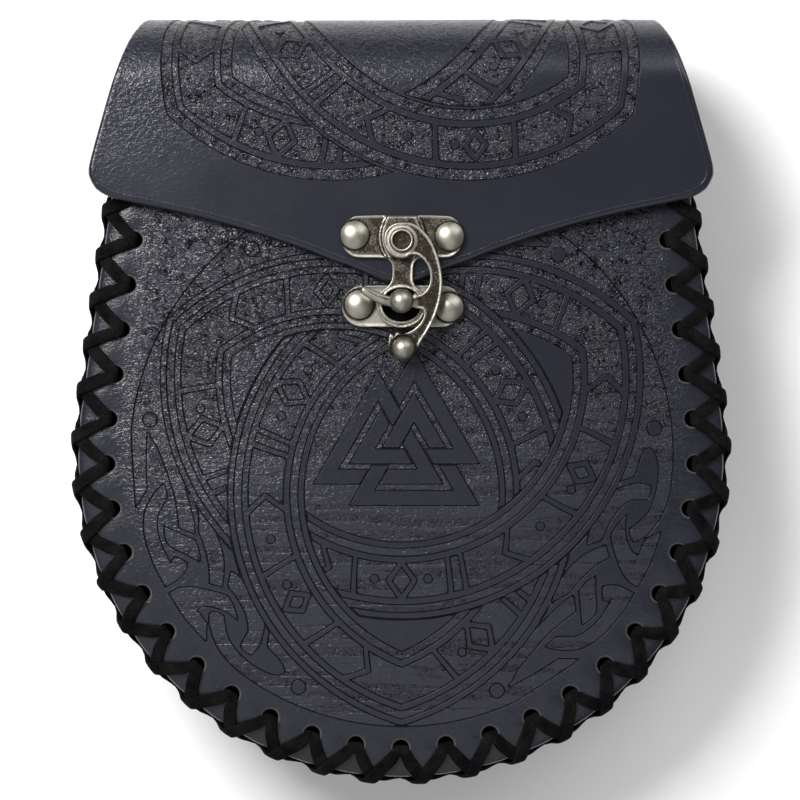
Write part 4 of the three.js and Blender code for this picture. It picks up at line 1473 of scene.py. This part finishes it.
def turned_piece(name, node, profile, centre, count=56, field=None, body="pouch"):
    """Turned metal piece, finished for one node of the frame."""
    piece = turned(name, profile, centre, count, field)
    finish_piece(piece, METAL_LOOK, "metal", body, node)


def ball_profile(radius, middle, count=24):
    """Half circle from the bottom pole to the top pole."""
    angle = np.linspace(-np.pi / 2, np.pi / 2, count)
    return np.stack([radius * np.cos(angle), middle + radius * np.sin(angle)], 1)


def dome_profile(radius, base, height, shank, end):
    """Domed rivet head with a small turned-in lip, on a shank. The dome is the cap of a sphere."""
    sphere = (radius ** 2 + height ** 2) / (2 * height)
    part = np.linspace(0, 1, 14)
    reach = radius * (1 - part ** 1.4)
    dome = np.stack([reach, base + 0.18 + height - sphere + np.sqrt(sphere ** 2 - reach ** 2)], 1)
    foot = [(0, end), (shank, end), (shank, base), (radius - 0.12, base), (radius, base + 0.1)]
    return np.vstack([foot, dome])


def clasp_rivets():
    """Domed rivets of the two plates, darkened at the foot of their heads: tarnish and painted shade."""
    for name in ("upper_rivet_left", "upper_rivet_right", "lower_rivet_left", "lower_rivet_right"):
        low, high = node_box(name)
        radius = (high - low)[0] / 2
        base = high[2] - RIVET_HEAD_DEPTH
        turned_piece(name + "_dome", name, dome_profile(radius, base, RIVET_DOME, RIVET_SHANK, low[2]),
                     rivet_centre(name), 56, lambda p: smooth(base + 0.5, base + 0.2, p[:, 1]))


def pivot_rivet():
    """Rivet that the hook turns on: a flat head with a sunk middle inside a rounded ring."""
    low, high = node_box("pivot_rivet")
    top = high[2]
    head = [(0, low[2]), (1.3, low[2]), (1.3, top - 1.1), (2.7, top - 1.1), (2.85, top - 0.95),
            (2.85, top - 0.3), (2.78, top - 0.1), (2.6, top), (2.42, top), (2.28, top - 0.1),
            (2.22, top - 0.3), (2.15, top - 0.34), (1.0, top - 0.34), (0, top - 0.34)]
    turned_piece("pivot_rivet_head", "pivot_rivet", head, PIVOT, 56,
                 lambda p: smooth(2.4, 2.22, p[:, 0]) * (p[:, 1] > top - 1))


def loop_rivets():
    """Belt loop rivets: a low domed cap behind the strap and a flat cap inside the pouch."""
    for name in ("loop_rivet_top_left", "loop_rivet_low_left",
                 "loop_rivet_top_right", "loop_rivet_low_right"):
        low, high = node_box(name)
        foot, top = low[2], high[2]
        head = [(0, foot), (1.2, foot + 0.06), (2.6, foot + 0.34), (3.7, foot + 0.85), (4.2, foot + 1.3),
                (4.3, foot + 1.5), (4.1, foot + 1.62), (1.5, foot + 1.62), (1.5, top - 0.8),
                (3.8, top - 0.8), (4.0, top - 0.6), (3.8, top - 0.2), (3.3, top), (0, top)]
        turned_piece(name + "_cap", name, head, rivet_centre(name))


def keeper_post():
    """Post with a ball head. Its neck is pierced by a curved slot for the hook's finger."""
    low, high = node_box("keeper_post")
    foot, base = low[2], LOWER_Z + PLATE
    slot_low, slot_high = HOOK_Z - SLOT_CLEARANCE, HOOK_Z + HOOK_THICKNESS + SLOT_CLEARANCE
    stem = [(0, foot), (3, foot), (3, foot + 0.7), (1.3, foot + 0.7), (1.3, base + 0.2), (2.5, base + 0.2),
            (2.65, base + 0.35), (2.6, slot_low - 0.1), (2.5, slot_low), (0, slot_low)]
    turned_piece("keeper_post_foot", "keeper_post", stem, POST, 40)
    angle = np.linspace(-0.42, np.pi / 2, 22)
    middle = high[2] - BALL_RADIUS
    ball = np.stack([BALL_RADIUS * np.cos(angle), middle + BALL_RADIUS * np.sin(angle)], 1)
    ball[-1, 0] = 0
    head = np.vstack([[(0, slot_high), (2.5, slot_high), (2.6, slot_high + 0.1)], ball])
    turned_piece("keeper_post_ball", "keeper_post", head, POST, 48)
    slot_cheek("keeper_post_near_cheek", 12.55, 14.05, slot_low, slot_high)
    slot_cheek("keeper_post_far_cheek", 16.75, 17.55, slot_low, slot_high)


def slot_cheek(name, inner, outer, slot_low, slot_high):
    """Side of the post's slot: a piece of a ring round the pivot, between two radii."""
    arc = np.radians(np.linspace(-90 - 6.2, -90 + 6.2, 9))
    rows = [PIVOT + radius * np.stack([np.cos(arc), np.sin(arc)], 1) for radius in (inner, outer)]
    loop = even_loop(np.vstack([rows[0][::-1], rows[1]]), 0.25)
    loop = loop if signed_area(loop) > 0 else loop[::-1]

    def inside(points):
        return loop_distance(points, loop)

    def place(points, height):
        return np.column_stack([points, slot_high + 0.2 + height])

    cheek = sheet(name, [loop], inside, place, slot_high - slot_low + 0.4, lambda p: np.zeros(len(p)), 0.5,
                  edge=0.1, coarse=1.0)
    finish_piece(cheek, METAL_LOOK, "metal", "pouch", "keeper_post")


def signed_area(loop):
    """Twice the area enclosed by a loop, positive when it runs counter-clockwise."""
    after = np.roll(loop, -1, 0)
    return np.sum(loop[:, 0] * after[:, 1] - loop[:, 1] * after[:, 0])


# Belt loops ----------------------------------------------------------------------------

STRAP_THICKNESS = 2.2
STRAP_RISE = (26, 33)


def belt_loops():
    """Straps that stand off the back between two riveted ends.

    A rounded section is carried along each strap, square to it. The strap's height over the floor is a
    smooth step of the distance to its middle.
    """
    for name in ("belt_loop_left", "belt_loop_right"):
        low, high = node_box(name)
        middle = (low + high) / 2
        wide = high[0] - low[0]
        reach = (high[1] - low[1]) / 2
        along = np.linspace(-reach, reach, 120)
        rise = (high[2] - STRAP_THICKNESS) * smooth(*STRAP_RISE, np.abs(along))
        slope = np.gradient(rise, along)
        norm = np.hypot(1, slope)
        angle = np.arange(40) / 40 * 2 * np.pi
        across = squared(np.cos(angle), 0.22) * wide / 2
        deep = squared(np.sin(angle), 0.5) * STRAP_THICKNESS / 2
        x = np.tile(middle[0] + across, (len(along), 1))
        y = middle[1] + along[:, None] - (slope / norm)[:, None] * deep[None, :]
        z = rise[:, None] + STRAP_THICKNESS / 2 + deep[None, :] / norm[:, None]
        piece = tubes(name + "_strap", [np.stack([x, y, z], -1)])
        facing_out(piece)
        count = len(piece.data.vertices)
        store(piece.data, "edge", np.full(count, 1.5))
        store(piece.data, "grain", np.full(count, 0.3))
        finish_piece(piece, LEATHER_LOOK, "leather", "pouch", name)


FLOOR_HALF = 3000

# Stage, in metres ----------------------------------------------------------------------

CAMERA_DISTANCE = 1.0
FIELD_WIDTH = 0.2
SENSOR_WIDTH = 36
AIM_OFFSET = -0.00025
LAMP_TARGET = (0, 0, 0.03)


def camera():
    """Camera straight above the front, far enough for a flat view."""
    data = bpy.data.cameras.new("camera")
    data.sensor_width = SENSOR_WIDTH
    data.lens = SENSOR_WIDTH * CAMERA_DISTANCE / FIELD_WIDTH
    data.clip_end = 10
    view = bpy.data.objects.new("camera", data)
    view.location = (AIM_OFFSET, AIM_OFFSET, FRONT_FACE * MM + CAMERA_DISTANCE)
    bpy.context.scene.collection.objects.link(view)
    bpy.context.scene.camera = view


def lamp(name, place, size, watts):
    """Square soft light aimed at the pouch."""
    data = bpy.data.lights.new(name, "AREA")
    data.size = size
    data.energy = watts
    piece = bpy.data.objects.new(name, data)
    piece.location = place
    piece.rotation_euler = (Vector(LAMP_TARGET) - Vector(place)).to_track_quat("-Z", "Y").to_euler()
    bpy.context.scene.collection.objects.link(piece)


def studio():
    """Pale floor, pale surroundings and soft lights: key upper left, fill upper right, one low."""
    half = FLOOR_HALF
    verts = np.array([(-half, -half, 0), (half, -half, 0), (half, half, 0), (-half, half, 0)], float)
    floor = solid("floor", verts, [[0, 1, 2, 3]])
    paint = bpy.data.materials.new("floor_paint")
    paint.use_nodes = True
    inputs = paint.node_tree.nodes["Principled BSDF"].inputs
    inputs["Base Color"].default_value = (0.93, 0.93, 0.93, 1)
    inputs["Roughness"].default_value = 0.9
    floor.data.materials.append(paint)
    world = bpy.data.worlds.new("surroundings")
    bpy.context.scene.world = world
    world.use_nodes = True
    inputs = world.node_tree.nodes["Background"].inputs
    inputs["Color"].default_value = (1, 1, 1, 1)
    inputs["Strength"].default_value = 0.2
    lamp("key", (-0.31, 0.32, 0.62), 0.32, 7.8)
    lamp("fill", (0.60, 0.84, 0.84), 1.0, 7.4)
    lamp("low", (-0.30, -0.72, 0.92), 1.9, 7)
    bpy.context.scene.view_settings.view_transform = "Standard"


camera()
studio()
front_panel()
back_and_flap()
gusset()
laces()
clasp_plates()
swing_hook()
clasp_rivets()
pivot_rivet()
loop_rivets()
keeper_post()
belt_loops()
